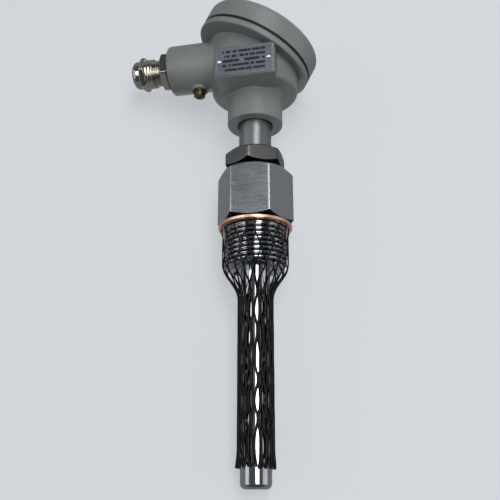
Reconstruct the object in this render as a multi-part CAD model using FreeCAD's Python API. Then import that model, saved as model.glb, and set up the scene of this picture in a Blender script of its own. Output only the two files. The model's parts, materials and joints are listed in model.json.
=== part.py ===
"""Screw-in temperature sensor: pocket, neck tube, cast terminal head and cable gland.

Millimetres. The origin is the centre of the process seat, the lower face of the copper gasket.
+Z runs up the stem to the head, the cable entry points to -X and the nameplate faces -Y.
"""

import FreeCAD
import Part

import math
import os

# Fits
CLOSE_GAP = 0.05  # radial gap of a close fit between pieces that stay together
RUN_GAP = 0.4  # radial gap round a screwed piece, whose thread is drawn as a plain wall
FACE_GAP = 0.05  # gap between faces that part when a piece is unscrewed
OVERLAP = 1.0  # how far a cut runs past a face, or a boss into the form that it grows from

# Turned-down ends of the hexagons
HEX_INSET = 0.3  # from the flats in to the edge of the end face
HEX_SLOPE = 30.0  # degrees

# Pocket: stem, thread and hexagon
STEM_R = 9.0
STEM_LENGTH = 153.0
STEM_TIP_R = 3.2
THREAD_R = 19.5
THREAD_REACH = 28.6  # from the hexagon down to the thread's end
THREAD_CHAMFER = 1.8
RELIEF_WIDTH = 4.0
RELIEF_DEPTH = 1.4
HEX_SHOULDER = 1.5  # from the thread out to the flats
HEX_COLLAR_HEIGHT = 1.0  # turned collar under the hexagon, which sits on the gasket
HEX_COLLAR_INSET = 0.6
HEX_HEIGHT = 34.5
HEX_TURN = 2.4  # degrees from +X to a corner
POCKET_GAP = 0.4
POCKET_END_WALL = 6.0

# Copper gasket
GASKET_GAP = 0.1
GASKET_WIDTH = 3.4
GASKET_HEIGHT = 2.0
GASKET_EDGE_R = 0.4

# Neck tube and its lock nut
NECK_R = 10.5
NECK_WALL = 2.6
NECK_IN_POCKET = 16.0
NECK_FREE = 35.0
NECK_IN_HEAD = 16.0
LOCK_WALL = 6.7
LOCK_HEIGHT = 14.0
LOCK_TURN = 28.0
LOCK_COLLAR_INSET = 2.0
LOCK_COLLAR_HEIGHT = 2.3

# Head: boss below, upright drum, slanted seat for the cover
BOSS_WALL = 7.5
BOSS_HEIGHT = 22.5
BOSS_EDGE_R = 1.2
BOSS_FILLET = 4.5
BOSS_MOUTH_DEPTH = 2.0
BOSS_MOUTH_STEP = 1.3
DRUM_STEP = 10.2  # from the boss out to the drum
DRUM_EDGE_R = 3.0
DRUM_DRAFT = 2.5  # degrees
DRUM_WALL = 4.0
FLOOR = 4.0
FLOOR_EDGE_R = 1.5
FLOOR_HOLE_GAP = 1.5
SEAT_RISE = 32.2  # from the drum's underside to the centre of the cover seat
SEAT_TILT = 27.5  # degrees, away from the cable entry
FLANGE_HEIGHT = 4.0
FLANGE_EDGE_R = 1.0
RIM_STEP = 5.8  # from the drum out to the threaded rim
RIM_WALL = 4.5
RIM_HEIGHT = 9.0
RIM_EDGE = 1.0

# Cable boss
ENTRY_THREAD_R = 10.0
ENTRY_THREAD_DEPTH = 13.5
ENTRY_THREAD_SPARE = 1.0
ENTRY_STEP = 2.0  # from the thread in to the bore behind it
ENTRY_WALL = 6.8
ENTRY_REACH = 58.5  # from the stem's axis to the boss's face
ENTRY_RISE = 27.5  # from the drum's underside to the boss's axis
ENTRY_EDGE_R = 1.8
ENTRY_FILLET = 3.0

# Cover and its seal
COVER_WALL = 5.8
COVER_HEADROOM = 3.9
COVER_TOP = 3.2
COVER_EDGE_R = 4.5
COVER_INNER_R = 2.2
COVER_LIP_R = 0.8
COVER_SEAL_HEIGHT = 1.2
COVER_SEAL_INSET = 0.2
COVER_SEAL_RIM_GAP = 1.1

# Nameplate and the pad that carries it
PLATE_WIDTH = 36.8
PLATE_HEIGHT = 20.4
PLATE_THICKNESS = 0.8
PLATE_CORNER_R = 0.8
PLATE_FLANGE_GAP = 0.3
PAD_SIDE_MARGIN = 0.9
PAD_END_MARGIN = 0.6
PAD_EDGE_R = 0.8
PAD_RISE = 3.8  # from the drum's side out to the pad's face
PAD_DEPTH = 16.0
PAD_OFFSET = -0.5
RIVET_HEAD_R = 1.7
RIVET_HEAD_HEIGHT = 1.1
RIVET_SHANK_R = 1.1
RIVET_SHANK = 2.6
RIVET_INSET = 2.6

# Earth terminal under the cable boss
EARTH_FROM_DRUM = 10.3
EARTH_PAD_R = 5.6
EARTH_PAD_DROP = 1.4
EARTH_WASHER_R = 4.6
EARTH_WASHER_HEIGHT = 1.0
EARTH_HEAD_R = 3.9
EARTH_HEAD_HEIGHT = 3.4
EARTH_HEAD_EDGE_R = 0.8
EARTH_SHANK_R = 2.5
EARTH_SHANK = 7.0
EARTH_SLOT = 1.1
EARTH_SLOT_DEPTH = 1.6
EARTH_SLOT_TURN = 30.0  # degrees

# Cable gland, measured outwards from the cable boss's face
CABLE_R = 4.5
GLAND_GASKET_WIDTH = 2.2
GLAND_GASKET_HEIGHT = 1.2
GLAND_SHOULDER = 2.0  # from the entry thread out to the flats
GLAND_HEX_HEIGHT = 5.0
GLAND_HEX_TURN = 0.0  # degrees
GLAND_BORE_GAP = 1.1
GLAND_SEAL_WALL = 2.7
GLAND_SEAL_LENGTH = 9.0
GLAND_SEAL_RECESS = 1.0
GLAND_WALL = 1.7
GLAND_THREAD_LENGTH = 11.0
GLAND_CHAMFER = 1.0
NUT_GAP = 0.2
NUT_WALL = 1.2
NUT_BACKED_OFF = 6.0  # thread left bare between the gland's hexagon and the nut
NUT_SKIRT = 5.2
NUT_HEX_HEIGHT = 4.4
NUT_TURN = 20.0  # degrees
NUT_DOME = 5.6
NUT_SHOULDER = 0.8
NUT_MOUTH_GAP = 1.3
NUT_LIP = 0.4
NUT_END_WALL = 2.2
SLIP_RING_HEIGHT = 5.0
SLIP_RING_GAP = 0.25
SLIP_RING_BORE_GAP = 0.7

# Measuring insert, its screws and springs
SHEATH_R = 3.0
SHEATH_TIP_R = 1.5
SHEATH_TIP_GAP = 0.1
SHEATH_STUB = 4.0
INSERT_SIDE_GAP = 3.7
INSERT_PLATE_HEIGHT = 2.0
INSERT_COLLAR_WALL = 2.0
INSERT_COLLAR_HEIGHT = 5.0
INSERT_LIFT = 2.5  # how far the pocket's end holds the plate off its pillars
PILLAR_WALL = 2.5
PILLAR_HEIGHT = 3.5
SCREW_R = 2.0
SCREW_INSET = 4.0
SCREW_IN_PILLAR = 5.0
SCREW_HEAD_HEIGHT = 2.8
SCREW_HEAD_MARGIN = 0.1
SCREW_SLOT = 1.0
SCREW_SLOT_DEPTH = 1.3
SCREW_SLOT_TURN = 20.0  # degrees
SLIDE_GAP = 0.4
SPRING_LENGTH = 11.5
SPRING_WIRE_R = 0.4
SPRING_GAP = 0.7
SPRING_TURNS = 5
SPRING_STEPS = 12
SPRING_SIDES = 6

# Terminal block and leads
BLOCK_SETBACK = 0.5
BLOCK_HEIGHT = 14.0
BLOCK_EDGE = 0.8
BLOCK_EYE_GAP = 3.0
BLOCK_NOTCH_GAP = 1.2
TERMINAL_INSET = 7.5
TERMINAL_ANGLES = (35.0, 145.0, 215.0, 325.0)
CLAMP_LENGTH = 9.0
CLAMP_WIDTH = 6.0
CLAMP_HEIGHT = 1.6
TERMINAL_SHANK_R = 1.6
TERMINAL_SHANK = 6.0
TERMINAL_HEAD_RISE = 1.0  # from the shank out to the head's edge
TERMINAL_HEAD_HEIGHT = 2.0
TERMINAL_SLOT_TURN = 50.0  # degrees
LEAD_COUNT = 3
LEAD_R = 0.6
LEAD_INSET = 0.7
LEAD_BEND_R = 2.4

# Net sleeve
NET_GAP = 0.3  # radial gap between net and thread
NET_SLACK = 0.6  # radial gap between net and stem
NET_WALL = 1.6
NET_TOP_DROP = 2.3
NET_SHOULDER_RISE = 2.4  # from the thread's end up to where the net starts to narrow
NET_SHOULDER_LENGTH = 24.0
NET_SHOULDER_STEPS = 6
NET_SHOULDER_POWER = 1.4
NET_BARE_TIP = 10.5
NET_FLARE_LENGTH = 9.0
NET_FLARE = 1.8
NET_COLUMNS = 12
NET_ROWS = 10
NET_STRAND = 1.5

# Radii and widths that follow
HEX_FLATS = 2 * (THREAD_R + HEX_SHOULDER)
POCKET_BORE_R = SHEATH_R + POCKET_GAP
LOCK_FLATS = 2 * (NECK_R + LOCK_WALL)
BOSS_R = NECK_R + BOSS_WALL
DRUM_R = BOSS_R + DRUM_STEP
DRUM_BORE_R = DRUM_R - DRUM_WALL
RIM_R = DRUM_R + RIM_STEP
COVER_BORE_R = RIM_R + RUN_GAP
FLANGE_R = COVER_BORE_R + COVER_WALL
ENTRY_R = ENTRY_THREAD_R + ENTRY_WALL
EARTH_REACH = DRUM_R + EARTH_FROM_DRUM
PAD_FACE = DRUM_R + PAD_RISE
PAD_WIDTH = PLATE_WIDTH + 2 * PAD_SIDE_MARGIN
PAD_HEIGHT = PLATE_HEIGHT + 2 * PAD_END_MARGIN
GLAND_FLATS = 2 * (ENTRY_THREAD_R + GLAND_SHOULDER)
GLAND_SEAL_R = CABLE_R + GLAND_SEAL_WALL
GLAND_THREAD_R = GLAND_SEAL_R + GLAND_WALL
NUT_BORE_R = GLAND_THREAD_R + NUT_GAP
NUT_FLATS = 2 * (NUT_BORE_R + NUT_WALL)
INSERT_PLATE_R = DRUM_BORE_R - INSERT_SIDE_GAP
INSERT_COLLAR_R = SHEATH_R + INSERT_COLLAR_WALL
SCREW_REACH = INSERT_PLATE_R - SCREW_INSET
SPRING_R = SCREW_R + SPRING_GAP + SPRING_WIRE_R
SCREW_HEAD_R = SPRING_R + SPRING_WIRE_R + SCREW_HEAD_MARGIN
BLOCK_R = INSERT_PLATE_R - BLOCK_SETBACK
TERMINAL_REACH = BLOCK_R - TERMINAL_INSET
TERMINAL_HEAD_R = TERMINAL_SHANK_R + TERMINAL_HEAD_RISE
LEAD_RING = SHEATH_R - LEAD_R - LEAD_INSET

# Heights that follow
TILT = math.radians(SEAT_TILT)
HEX_Z = GASKET_HEIGHT + HEX_COLLAR_HEIGHT
HEX_TOP_Z = HEX_Z + HEX_HEIGHT
THREAD_END_Z = HEX_Z - THREAD_REACH
POCKET_FLOOR_Z = POCKET_END_WALL - STEM_LENGTH
NET_BOTTOM_Z = NET_BARE_TIP - STEM_LENGTH
BOSS_Z = HEX_TOP_Z + NECK_FREE
DRUM_Z = BOSS_Z + BOSS_HEIGHT
FLOOR_Z = DRUM_Z + FLOOR
ENTRY_Z = DRUM_Z + ENTRY_RISE
EARTH_Z = ENTRY_Z - ENTRY_R - EARTH_PAD_DROP
SEAT_Z = DRUM_Z + SEAT_RISE
UNDER_FLANGE_Z = SEAT_Z - FLANGE_HEIGHT / math.cos(TILT)
PLATE_TOP_Z = UNDER_FLANGE_Z - (PAD_OFFSET + PLATE_WIDTH / 2) * math.tan(TILT) - PLATE_FLANGE_GAP
PLATE_MID_Z = PLATE_TOP_Z - PLATE_HEIGHT / 2
PILLAR_Z = FLOOR_Z + PILLAR_HEIGHT
INSERT_Z = PILLAR_Z + INSERT_LIFT
BLOCK_Z = INSERT_Z + INSERT_PLATE_HEIGHT
CLAMP_Z = BLOCK_Z + BLOCK_HEIGHT
TERMINAL_Z = CLAMP_Z + CLAMP_HEIGHT

# Distances along cover and gland that follow
COVER_LOW = COVER_SEAL_HEIGHT + 2 * FACE_GAP
COVER_CEILING = RIM_HEIGHT + COVER_HEADROOM
COVER_HEIGHT = COVER_CEILING + COVER_TOP
GLAND_HEX_TOP = GLAND_GASKET_HEIGHT + GLAND_HEX_HEIGHT
GLAND_END = GLAND_HEX_TOP + GLAND_THREAD_LENGTH
GLAND_SEAL_TOP = GLAND_END - GLAND_SEAL_RECESS
GLAND_SEAL_FLOOR = GLAND_SEAL_TOP - GLAND_SEAL_LENGTH
NUT_LOW = GLAND_HEX_TOP + NUT_BACKED_OFF
NUT_HEX_LOW = NUT_LOW + NUT_SKIRT
NUT_HEX_TOP = NUT_HEX_LOW + NUT_HEX_HEIGHT
NUT_TOP = NUT_HEX_TOP + NUT_DOME
NUT_BORE_TOP = NUT_TOP - NUT_END_WALL

V = FreeCAD.Vector
ORIGIN = V(0, 0, 0)
UP = V(0, 0, 1)
COVER_AXIS = V(math.sin(TILT), 0, math.cos(TILT))
SEAT_CENTRE = V(0, 0, SEAT_Z)
FAR = 2 * (STEM_LENGTH + SEAT_Z)  # longer than the part


def corner_arc(before, corner, after, radius):
    """Ends and middle of the arc that rounds a corner of an outline."""
    to_before = (before - corner).normalize()
    to_after = (after - corner).normalize()
    half = to_before.getAngle(to_after) / 2
    start = corner + to_before * (radius / math.tan(half))
    end = corner + to_after * (radius / math.tan(half))
    bisector = (to_before + to_after).normalize()
    middle = corner + bisector * (radius / math.sin(half) - radius)
    return start, middle, end


def outline(points):
    """Closed wire in the XZ plane from (x, z) corners, or (x, z, radius) where one is round."""
    corners = [V(p[0], 0, p[1]) for p in points]
    radii = [p[2] if len(p) > 2 else 0.0 for p in points]
    count = len(corners)
    spans = []
    for i in range(count):
        before, corner, after = corners[i - 1], corners[i], corners[(i + 1) % count]
        if radii[i] > 0:
            spans.append(corner_arc(before, corner, after, radii[i]))
        else:
            spans.append((corner,))
    edges = []
    for i in range(count):
        if len(spans[i]) == 3:
            edges.append(Part.Arc(*spans[i]).toShape())
        start, end = spans[i][-1], spans[(i + 1) % count][0]
        if start.distanceToPoint(end) > 1e-6:
            edges.append(Part.LineSegment(start, end).toShape())
    return Part.Wire(edges)


def turned(points):
    """Solid turned about Z from an outline in the XZ plane."""
    return Part.Face(outline(points)).revolve(ORIGIN, UP, 360)


def ring(inner, outer, low, high):
    """Plain ring about Z."""
    return turned([(inner, low), (outer, low), (outer, high), (inner, high)])


def rod(radius, low, high, x=0.0, y=0.0):
    """Cylinder along Z."""
    return Part.makeCylinder(radius, high - low, V(x, y, low), UP)


def block(x, y, z):
    """Box from its low and high limits along each axis."""
    return Part.makeBox(x[1] - x[0], y[1] - y[0], z[1] - z[0], V(x[0], y[0], z[0]))


def hexagon(flats, low, high, turn, chamfer_low=True):
    """Hexagon along Z with its corners turned down at the top, and at the bottom if asked."""
    corner_r = flats / math.sqrt(3)
    angles = [math.radians(turn + 60 * i) for i in range(7)]
    points = [V(corner_r * math.cos(a), corner_r * math.sin(a), low) for a in angles]
    prism = Part.Face(Part.makePolygon(points)).extrude(V(0, 0, high - low))
    face_r = flats / 2 - HEX_INSET
    reach = corner_r + OVERLAP
    drop = (reach - face_r) * math.tan(math.radians(HEX_SLOPE))
    limits = [(0, low)]
    if chamfer_low:
        limits += [(face_r, low), (reach, low + drop)]
    else:
        limits += [(reach, low)]
    limits += [(reach, high - drop), (face_r, high), (0, high)]
    return prism.common(turned(limits))


def tilted(shape):
    """Move a piece made about Z at the origin onto the cover seat."""
    turn = FreeCAD.Rotation(V(0, 1, 0), SEAT_TILT)
    shape.Placement = FreeCAD.Placement(SEAT_CENTRE, turn).multiply(shape.Placement)
    return shape


def outward(shape):
    """Move a piece made along Z at the origin onto the cable boss's face."""
    place = V(-ENTRY_REACH, 0, ENTRY_Z)
    turn = FreeCAD.Rotation(V(0, 1, 0), -90)
    shape.Placement = FreeCAD.Placement(place, turn).multiply(shape.Placement)
    return shape


def facing_front(shape, x, z):
    """Move a piece made along Z at the origin onto the nameplate pad, facing -Y."""
    turn = FreeCAD.Rotation(V(1, 0, 0), 90)
    shape.Placement = FreeCAD.Placement(V(x, -PAD_FACE, z), turn).multiply(shape.Placement)
    return shape


def slotted(head, radius, width, depth, top, turn, x=0.0, y=0.0):
    """Cut a screwdriver slot into a screw head that ends at the given height."""
    reach = radius + OVERLAP
    slot = block((-reach, reach), (-width / 2, width / 2), (top - depth, top + OVERLAP))
    slot.rotate(ORIGIN, UP, turn)
    slot.translate(V(x, y, 0))
    return head.cut(slot)


def make_thermowell():
    """Pocket in one piece: hexagon on a collar, relief, thread, stem with a round tip, and a blind bore."""
    relief_z = HEX_Z - RELIEF_WIDTH
    relief_r = THREAD_R - RELIEF_DEPTH
    collar_r = HEX_FLATS / 2 - HEX_COLLAR_INSET
    core = turned(
        [
            (0, -STEM_LENGTH),
            (STEM_R, -STEM_LENGTH, STEM_TIP_R),
            (STEM_R, THREAD_END_Z),
            (THREAD_R - THREAD_CHAMFER, THREAD_END_Z),
            (THREAD_R, THREAD_END_Z + THREAD_CHAMFER),
            (THREAD_R, relief_z),
            (relief_r, relief_z + RELIEF_DEPTH),
            (relief_r, GASKET_HEIGHT),
            (collar_r, GASKET_HEIGHT),
            (collar_r, HEX_Z + OVERLAP),
            (0, HEX_Z + OVERLAP),
        ]
    )
    head = hexagon(HEX_FLATS, HEX_Z, HEX_TOP_Z, HEX_TURN)
    socket = rod(NECK_R, HEX_TOP_Z - NECK_IN_POCKET, HEX_TOP_Z + OVERLAP)
    bore = rod(POCKET_BORE_R, POCKET_FLOOR_Z, HEX_TOP_Z)
    return core.fuse(head).cut(socket).cut(bore).removeSplitter()


def make_copper_gasket():
    """Flat ring with eased edges that slides over the thread up to the hexagon."""
    inner = THREAD_R + GASKET_GAP
    outer = inner + GASKET_WIDTH
    return turned(
        [
            (inner, 0),
            (outer, 0, GASKET_EDGE_R),
            (outer, GASKET_HEIGHT, GASKET_EDGE_R),
            (inner, GASKET_HEIGHT),
        ]
    )


def make_neck_tube():
    """Tube screwed into the pocket below and the head above."""
    low = HEX_TOP_Z - NECK_IN_POCKET
    high = BOSS_Z + NECK_IN_HEAD
    return ring(NECK_R - NECK_WALL, NECK_R - CLOSE_GAP, low, high)


def make_lock_nut():
    """Hexagon nut with a round collar that bears on the pocket."""
    low = HEX_TOP_Z + LOCK_COLLAR_HEIGHT
    high = HEX_TOP_Z + LOCK_HEIGHT
    nut = hexagon(LOCK_FLATS, low, high, LOCK_TURN)
    collar = rod(LOCK_FLATS / 2 - LOCK_COLLAR_INSET, HEX_TOP_Z, low + OVERLAP)
    hole = rod(NECK_R, HEX_TOP_Z - OVERLAP, high + OVERLAP)
    return nut.fuse(collar).cut(hole).removeSplitter()


def drum_radius(height, radius):
    """Radius of a drafted wall at a height above the drum's underside."""
    return radius + height * math.tan(math.radians(DRUM_DRAFT))


def below_seat(shape, depth=0.0):
    """Keep what lies below the cover seat, or a depth under it."""
    top = SEAT_CENTRE - COVER_AXIS * depth
    return shape.common(Part.makeCylinder(FAR, FAR, top, COVER_AXIS * -1))


def make_drum():
    """Upright drum with its boss below, as one turned form that runs on past the seat."""
    high = SEAT_Z + FLANGE_R
    fillet = min(BOSS_FILLET, DRUM_STEP - DRUM_EDGE_R)
    return turned(
        [
            (0, BOSS_Z),
            (BOSS_R, BOSS_Z, BOSS_EDGE_R),
            (BOSS_R, DRUM_Z, fillet),
            (DRUM_R, DRUM_Z, DRUM_EDGE_R),
            (drum_radius(high - DRUM_Z, DRUM_R), high),
            (0, high),
        ]
    )


def add_cable_boss(drum):
    """Grow the gland's round boss out of the drum, with a fillet, and the earth pad below it."""
    boss = turned([(0, -ENTRY_REACH), (ENTRY_R, -ENTRY_REACH), (ENTRY_R, 0, ENTRY_EDGE_R), (0, 0)])
    casting = drum.fuse(outward(boss)).removeSplitter()
    meeting = []
    for edge in casting.Edges:
        surfaces = {type(face.Surface) for face in casting.ancestorsOfType(edge, Part.Face)}
        if surfaces == {Part.Cone, Part.Cylinder}:
            meeting.append(edge)
    casting = casting.makeFillet(ENTRY_FILLET, meeting)
    return casting.fuse(rod(EARTH_PAD_R, EARTH_Z, ENTRY_Z, -EARTH_REACH))


def make_nameplate_pad():
    """Flat-faced block on the drum's front."""
    x = (PAD_OFFSET - PAD_WIDTH / 2, PAD_OFFSET + PAD_WIDTH / 2)
    z = (PLATE_MID_Z - PAD_HEIGHT / 2, PLATE_MID_Z + PAD_HEIGHT / 2)
    pad = block(x, (-PAD_FACE, PAD_DEPTH - PAD_FACE), z)
    front = [edge for edge in pad.Edges if edge.BoundBox.YMax < OVERLAP - PAD_FACE]
    return pad.makeFillet(PAD_EDGE_R, front)


def make_cavity():
    """Wiring space: drum bore below the seat and the bore of the threaded rim above it."""
    high = SEAT_Z + FLANGE_R
    bore = turned(
        [
            (0, FLOOR_Z),
            (drum_radius(FLOOR, DRUM_BORE_R), FLOOR_Z, FLOOR_EDGE_R),
            (drum_radius(high - DRUM_Z, DRUM_BORE_R), high),
            (0, high),
        ]
    )
    mouth = tilted(rod(RIM_R - RIM_WALL, -FLANGE_HEIGHT / 2, RIM_HEIGHT + OVERLAP))
    return below_seat(bore).fuse(mouth)


def make_flange():
    """Round flange under the cover with the threaded rim on it."""
    return tilted(
        turned(
            [
                (0, -FLANGE_HEIGHT),
                (FLANGE_R, -FLANGE_HEIGHT, FLANGE_EDGE_R),
                (FLANGE_R, 0),
                (RIM_R, 0),
                (RIM_R, RIM_HEIGHT - RIM_EDGE),
                (RIM_R - RIM_EDGE, RIM_HEIGHT),
                (0, RIM_HEIGHT),
            ]
        )
    )


def screw_places():
    """The two places where the insert is screwed down."""
    return [(0.0, side * SCREW_REACH) for side in (-1, 1)]


def rivet_places():
    """Places of the two rivets, as (x, z)."""
    reach = PLATE_WIDTH / 2 - RIVET_INSET
    return [(PAD_OFFSET + side * reach, PLATE_MID_Z) for side in (-1, 1)]


def head_holes():
    """What is bored out of the casting, apart from its cavity."""
    mouth_top = BOSS_Z + BOSS_MOUTH_DEPTH
    mouth_r = NECK_R + BOSS_MOUTH_STEP
    entry_bore_r = ENTRY_THREAD_R - ENTRY_STEP
    holes = [
        rod(NECK_R, BOSS_Z - OVERLAP, BOSS_Z + NECK_IN_HEAD),
        turned([(0, BOSS_Z), (mouth_r, BOSS_Z), (NECK_R, mouth_top), (0, mouth_top)]),
        rod(INSERT_COLLAR_R + FLOOR_HOLE_GAP, BOSS_Z, FLOOR_Z + OVERLAP),
        outward(rod(ENTRY_THREAD_R, -ENTRY_THREAD_DEPTH, OVERLAP)),
        outward(rod(entry_bore_r, -ENTRY_REACH, 0)),
        rod(EARTH_SHANK_R, EARTH_Z - OVERLAP, EARTH_Z + EARTH_SHANK, -EARTH_REACH),
    ]
    for x, y in screw_places():
        holes.append(rod(SCREW_R, PILLAR_Z - SCREW_IN_PILLAR, PILLAR_Z + OVERLAP, x, y))
    for x, z in rivet_places():
        holes.append(facing_front(rod(RIVET_SHANK_R, -RIVET_SHANK, OVERLAP), x, z))
    return holes


def make_head_body():
    """Cast head: drum, bosses, pad, flange and threaded rim round one cavity."""
    casting = add_cable_boss(make_drum()).fuse(make_nameplate_pad())
    casting = below_seat(casting, FLANGE_HEIGHT / 2)
    casting = casting.fuse(make_flange()).cut(make_cavity())
    pillar_r = SCREW_R + PILLAR_WALL
    pillars = [rod(pillar_r, FLOOR_Z - OVERLAP, PILLAR_Z, x, y) for x, y in screw_places()]
    return casting.fuse(pillars).cut(head_holes()).removeSplitter()


def make_head_cover():
    """Round screw cover: skirt round the rim, flat top and a well-rounded edge."""
    return tilted(
        turned(
            [
                (COVER_BORE_R, COVER_LOW),
                (FLANGE_R, COVER_LOW, COVER_LIP_R),
                (FLANGE_R, COVER_HEIGHT, COVER_EDGE_R),
                (0, COVER_HEIGHT),
                (0, COVER_CEILING),
                (COVER_BORE_R, COVER_CEILING, COVER_INNER_R),
            ]
        )
    )


def make_cover_seal():
    """Flat rubber ring between flange and cover."""
    inner = RIM_R + COVER_SEAL_RIM_GAP
    outer = FLANGE_R - COVER_SEAL_INSET
    return tilted(ring(inner, outer, FACE_GAP, FACE_GAP + COVER_SEAL_HEIGHT))


def make_nameplate():
    """Thin plate with round corners and two rivet holes."""
    plate = block(
        (-PLATE_WIDTH / 2, PLATE_WIDTH / 2),
        (-PLATE_HEIGHT / 2, PLATE_HEIGHT / 2),
        (0, PLATE_THICKNESS),
    )
    upright = [edge for edge in plate.Edges if edge.BoundBox.ZLength > PLATE_THICKNESS / 2]
    plate = facing_front(plate.makeFillet(PLATE_CORNER_R, upright), PAD_OFFSET, PLATE_MID_Z)
    holes = []
    for x, z in rivet_places():
        holes.append(facing_front(rod(RIVET_SHANK_R, -OVERLAP, PLATE_THICKNESS + OVERLAP), x, z))
    return plate.cut(holes)


def make_nameplate_rivets():
    """Two dome-headed drive rivets."""
    rivets = []
    sphere_r = (RIVET_HEAD_R**2 + RIVET_HEAD_HEIGHT**2) / (2 * RIVET_HEAD_HEIGHT)
    top = PLATE_THICKNESS + RIVET_HEAD_HEIGHT
    for x, z in rivet_places():
        dome = Part.makeSphere(sphere_r, V(0, 0, top - sphere_r))
        dome = dome.common(rod(RIVET_HEAD_R + OVERLAP, PLATE_THICKNESS, top))
        shank = rod(RIVET_SHANK_R - CLOSE_GAP, -RIVET_SHANK, PLATE_THICKNESS)
        rivets.append(facing_front(dome.fuse(shank).removeSplitter(), x, z))
    return Part.makeCompound(rivets)


def make_earth_washer():
    """Flat washer of the earth terminal."""
    washer = ring(EARTH_SHANK_R, EARTH_WASHER_R, EARTH_Z - EARTH_WASHER_HEIGHT, EARTH_Z)
    washer.translate(V(-EARTH_REACH, 0, 0))
    return washer


def make_earth_screw():
    """Cheese-head screw, head down."""
    head = turned(
        [
            (0, 0),
            (EARTH_HEAD_R, 0),
            (EARTH_HEAD_R, EARTH_HEAD_HEIGHT, EARTH_HEAD_EDGE_R),
            (0, EARTH_HEAD_HEIGHT),
        ]
    )
    head = slotted(
        head, EARTH_HEAD_R, EARTH_SLOT, EARTH_SLOT_DEPTH, EARTH_HEAD_HEIGHT, EARTH_SLOT_TURN
    )
    shank = rod(EARTH_SHANK_R - CLOSE_GAP, -EARTH_WASHER_HEIGHT - EARTH_SHANK, 0)
    screw = head.fuse(shank).removeSplitter()
    place = V(-EARTH_REACH, 0, EARTH_Z - EARTH_WASHER_HEIGHT)
    screw.Placement = FreeCAD.Placement(place, FreeCAD.Rotation(V(1, 0, 0), 180))
    return screw


def make_gland_gasket():
    """Flat ring between boss and gland."""
    outer = ENTRY_THREAD_R + GLAND_GASKET_WIDTH
    return outward(ring(ENTRY_THREAD_R, outer, 0, GLAND_GASKET_HEIGHT))


def make_gland_body():
    """Gland body: thread into the boss, hexagon, outer thread and the seal's seat."""
    shank_low = ENTRY_THREAD_SPARE - ENTRY_THREAD_DEPTH
    shank = rod(ENTRY_THREAD_R - CLOSE_GAP, shank_low, GLAND_GASKET_HEIGHT)
    collar = hexagon(GLAND_FLATS, GLAND_GASKET_HEIGHT, GLAND_HEX_TOP, GLAND_HEX_TURN, chamfer_low=False)
    spigot = turned(
        [
            (0, GLAND_GASKET_HEIGHT),
            (GLAND_THREAD_R, GLAND_GASKET_HEIGHT),
            (GLAND_THREAD_R, GLAND_END - GLAND_CHAMFER),
            (GLAND_THREAD_R - GLAND_CHAMFER, GLAND_END),
            (0, GLAND_END),
        ]
    )
    bore = rod(CABLE_R + GLAND_BORE_GAP, -ENTRY_THREAD_DEPTH, GLAND_END + OVERLAP)
    seat = rod(GLAND_SEAL_R, GLAND_SEAL_FLOOR, GLAND_END + OVERLAP)
    return outward(shank.fuse([collar, spigot]).cut(bore).cut(seat).removeSplitter())


def make_gland_seal():
    """Rubber grommet that grips the cable."""
    return outward(ring(CABLE_R, GLAND_SEAL_R - CLOSE_GAP, GLAND_SEAL_FLOOR, GLAND_SEAL_TOP))


def make_gland_slip_ring():
    """Pressure sleeve that the nut carries and pushes towards the seal."""
    high = NUT_BORE_TOP - FACE_GAP
    inner = CABLE_R + SLIP_RING_BORE_GAP
    return outward(ring(inner, GLAND_SEAL_R - SLIP_RING_GAP, high - SLIP_RING_HEIGHT, high))


def make_gland_nut():
    """Dome nut: round skirt, short hexagon, domed end and the cable's mouth."""
    flat_r = NUT_FLATS / 2
    dome_r = flat_r - NUT_SHOULDER
    mouth_r = CABLE_R + NUT_MOUTH_GAP
    bore_end = NUT_HEX_TOP - NUT_SHOULDER
    skirt = rod(flat_r - HEX_INSET, NUT_LOW, NUT_HEX_LOW + OVERLAP)
    grip = hexagon(NUT_FLATS, NUT_HEX_LOW, NUT_HEX_TOP, NUT_TURN)
    dome = turned(
        [
            (0, bore_end),
            (dome_r, bore_end),
            (dome_r, NUT_TOP, dome_r - mouth_r - NUT_LIP),
            (0, NUT_TOP),
        ]
    )
    holes = [
        rod(NUT_BORE_R, NUT_LOW - OVERLAP, bore_end),
        rod(GLAND_SEAL_R, NUT_LOW, NUT_BORE_TOP),
        rod(mouth_r, NUT_LOW, NUT_TOP + OVERLAP),
    ]
    return outward(skirt.fuse([grip, dome]).cut(holes).removeSplitter())


def make_insert_flange():
    """Round plate with the collar that holds the sheath and two screw holes."""
    collar_z = INSERT_Z - INSERT_COLLAR_HEIGHT
    plate = rod(INSERT_PLATE_R, INSERT_Z, BLOCK_Z)
    collar = rod(INSERT_COLLAR_R, collar_z, INSERT_Z)
    holes = [rod(SHEATH_R, collar_z - OVERLAP, BLOCK_Z + OVERLAP)]
    for x, y in screw_places():
        holes.append(rod(SCREW_R + SLIDE_GAP, INSERT_Z - OVERLAP, BLOCK_Z + OVERLAP, x, y))
    return plate.fuse(collar).cut(holes).removeSplitter()


def make_insert_sheath():
    """Closed sheath from the pocket's end to just above the plate."""
    low = POCKET_FLOOR_Z + SHEATH_TIP_GAP
    high = BLOCK_Z + SHEATH_STUB
    radius = SHEATH_R - CLOSE_GAP
    return turned([(0, low), (radius, low, SHEATH_TIP_R), (radius, high), (0, high)])


def terminal_places():
    """Places of the terminals on the block, as (x, y, angle)."""
    places = []
    for angle in TERMINAL_ANGLES:
        a = math.radians(angle)
        places.append((TERMINAL_REACH * math.cos(a), TERMINAL_REACH * math.sin(a), angle))
    return places


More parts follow.
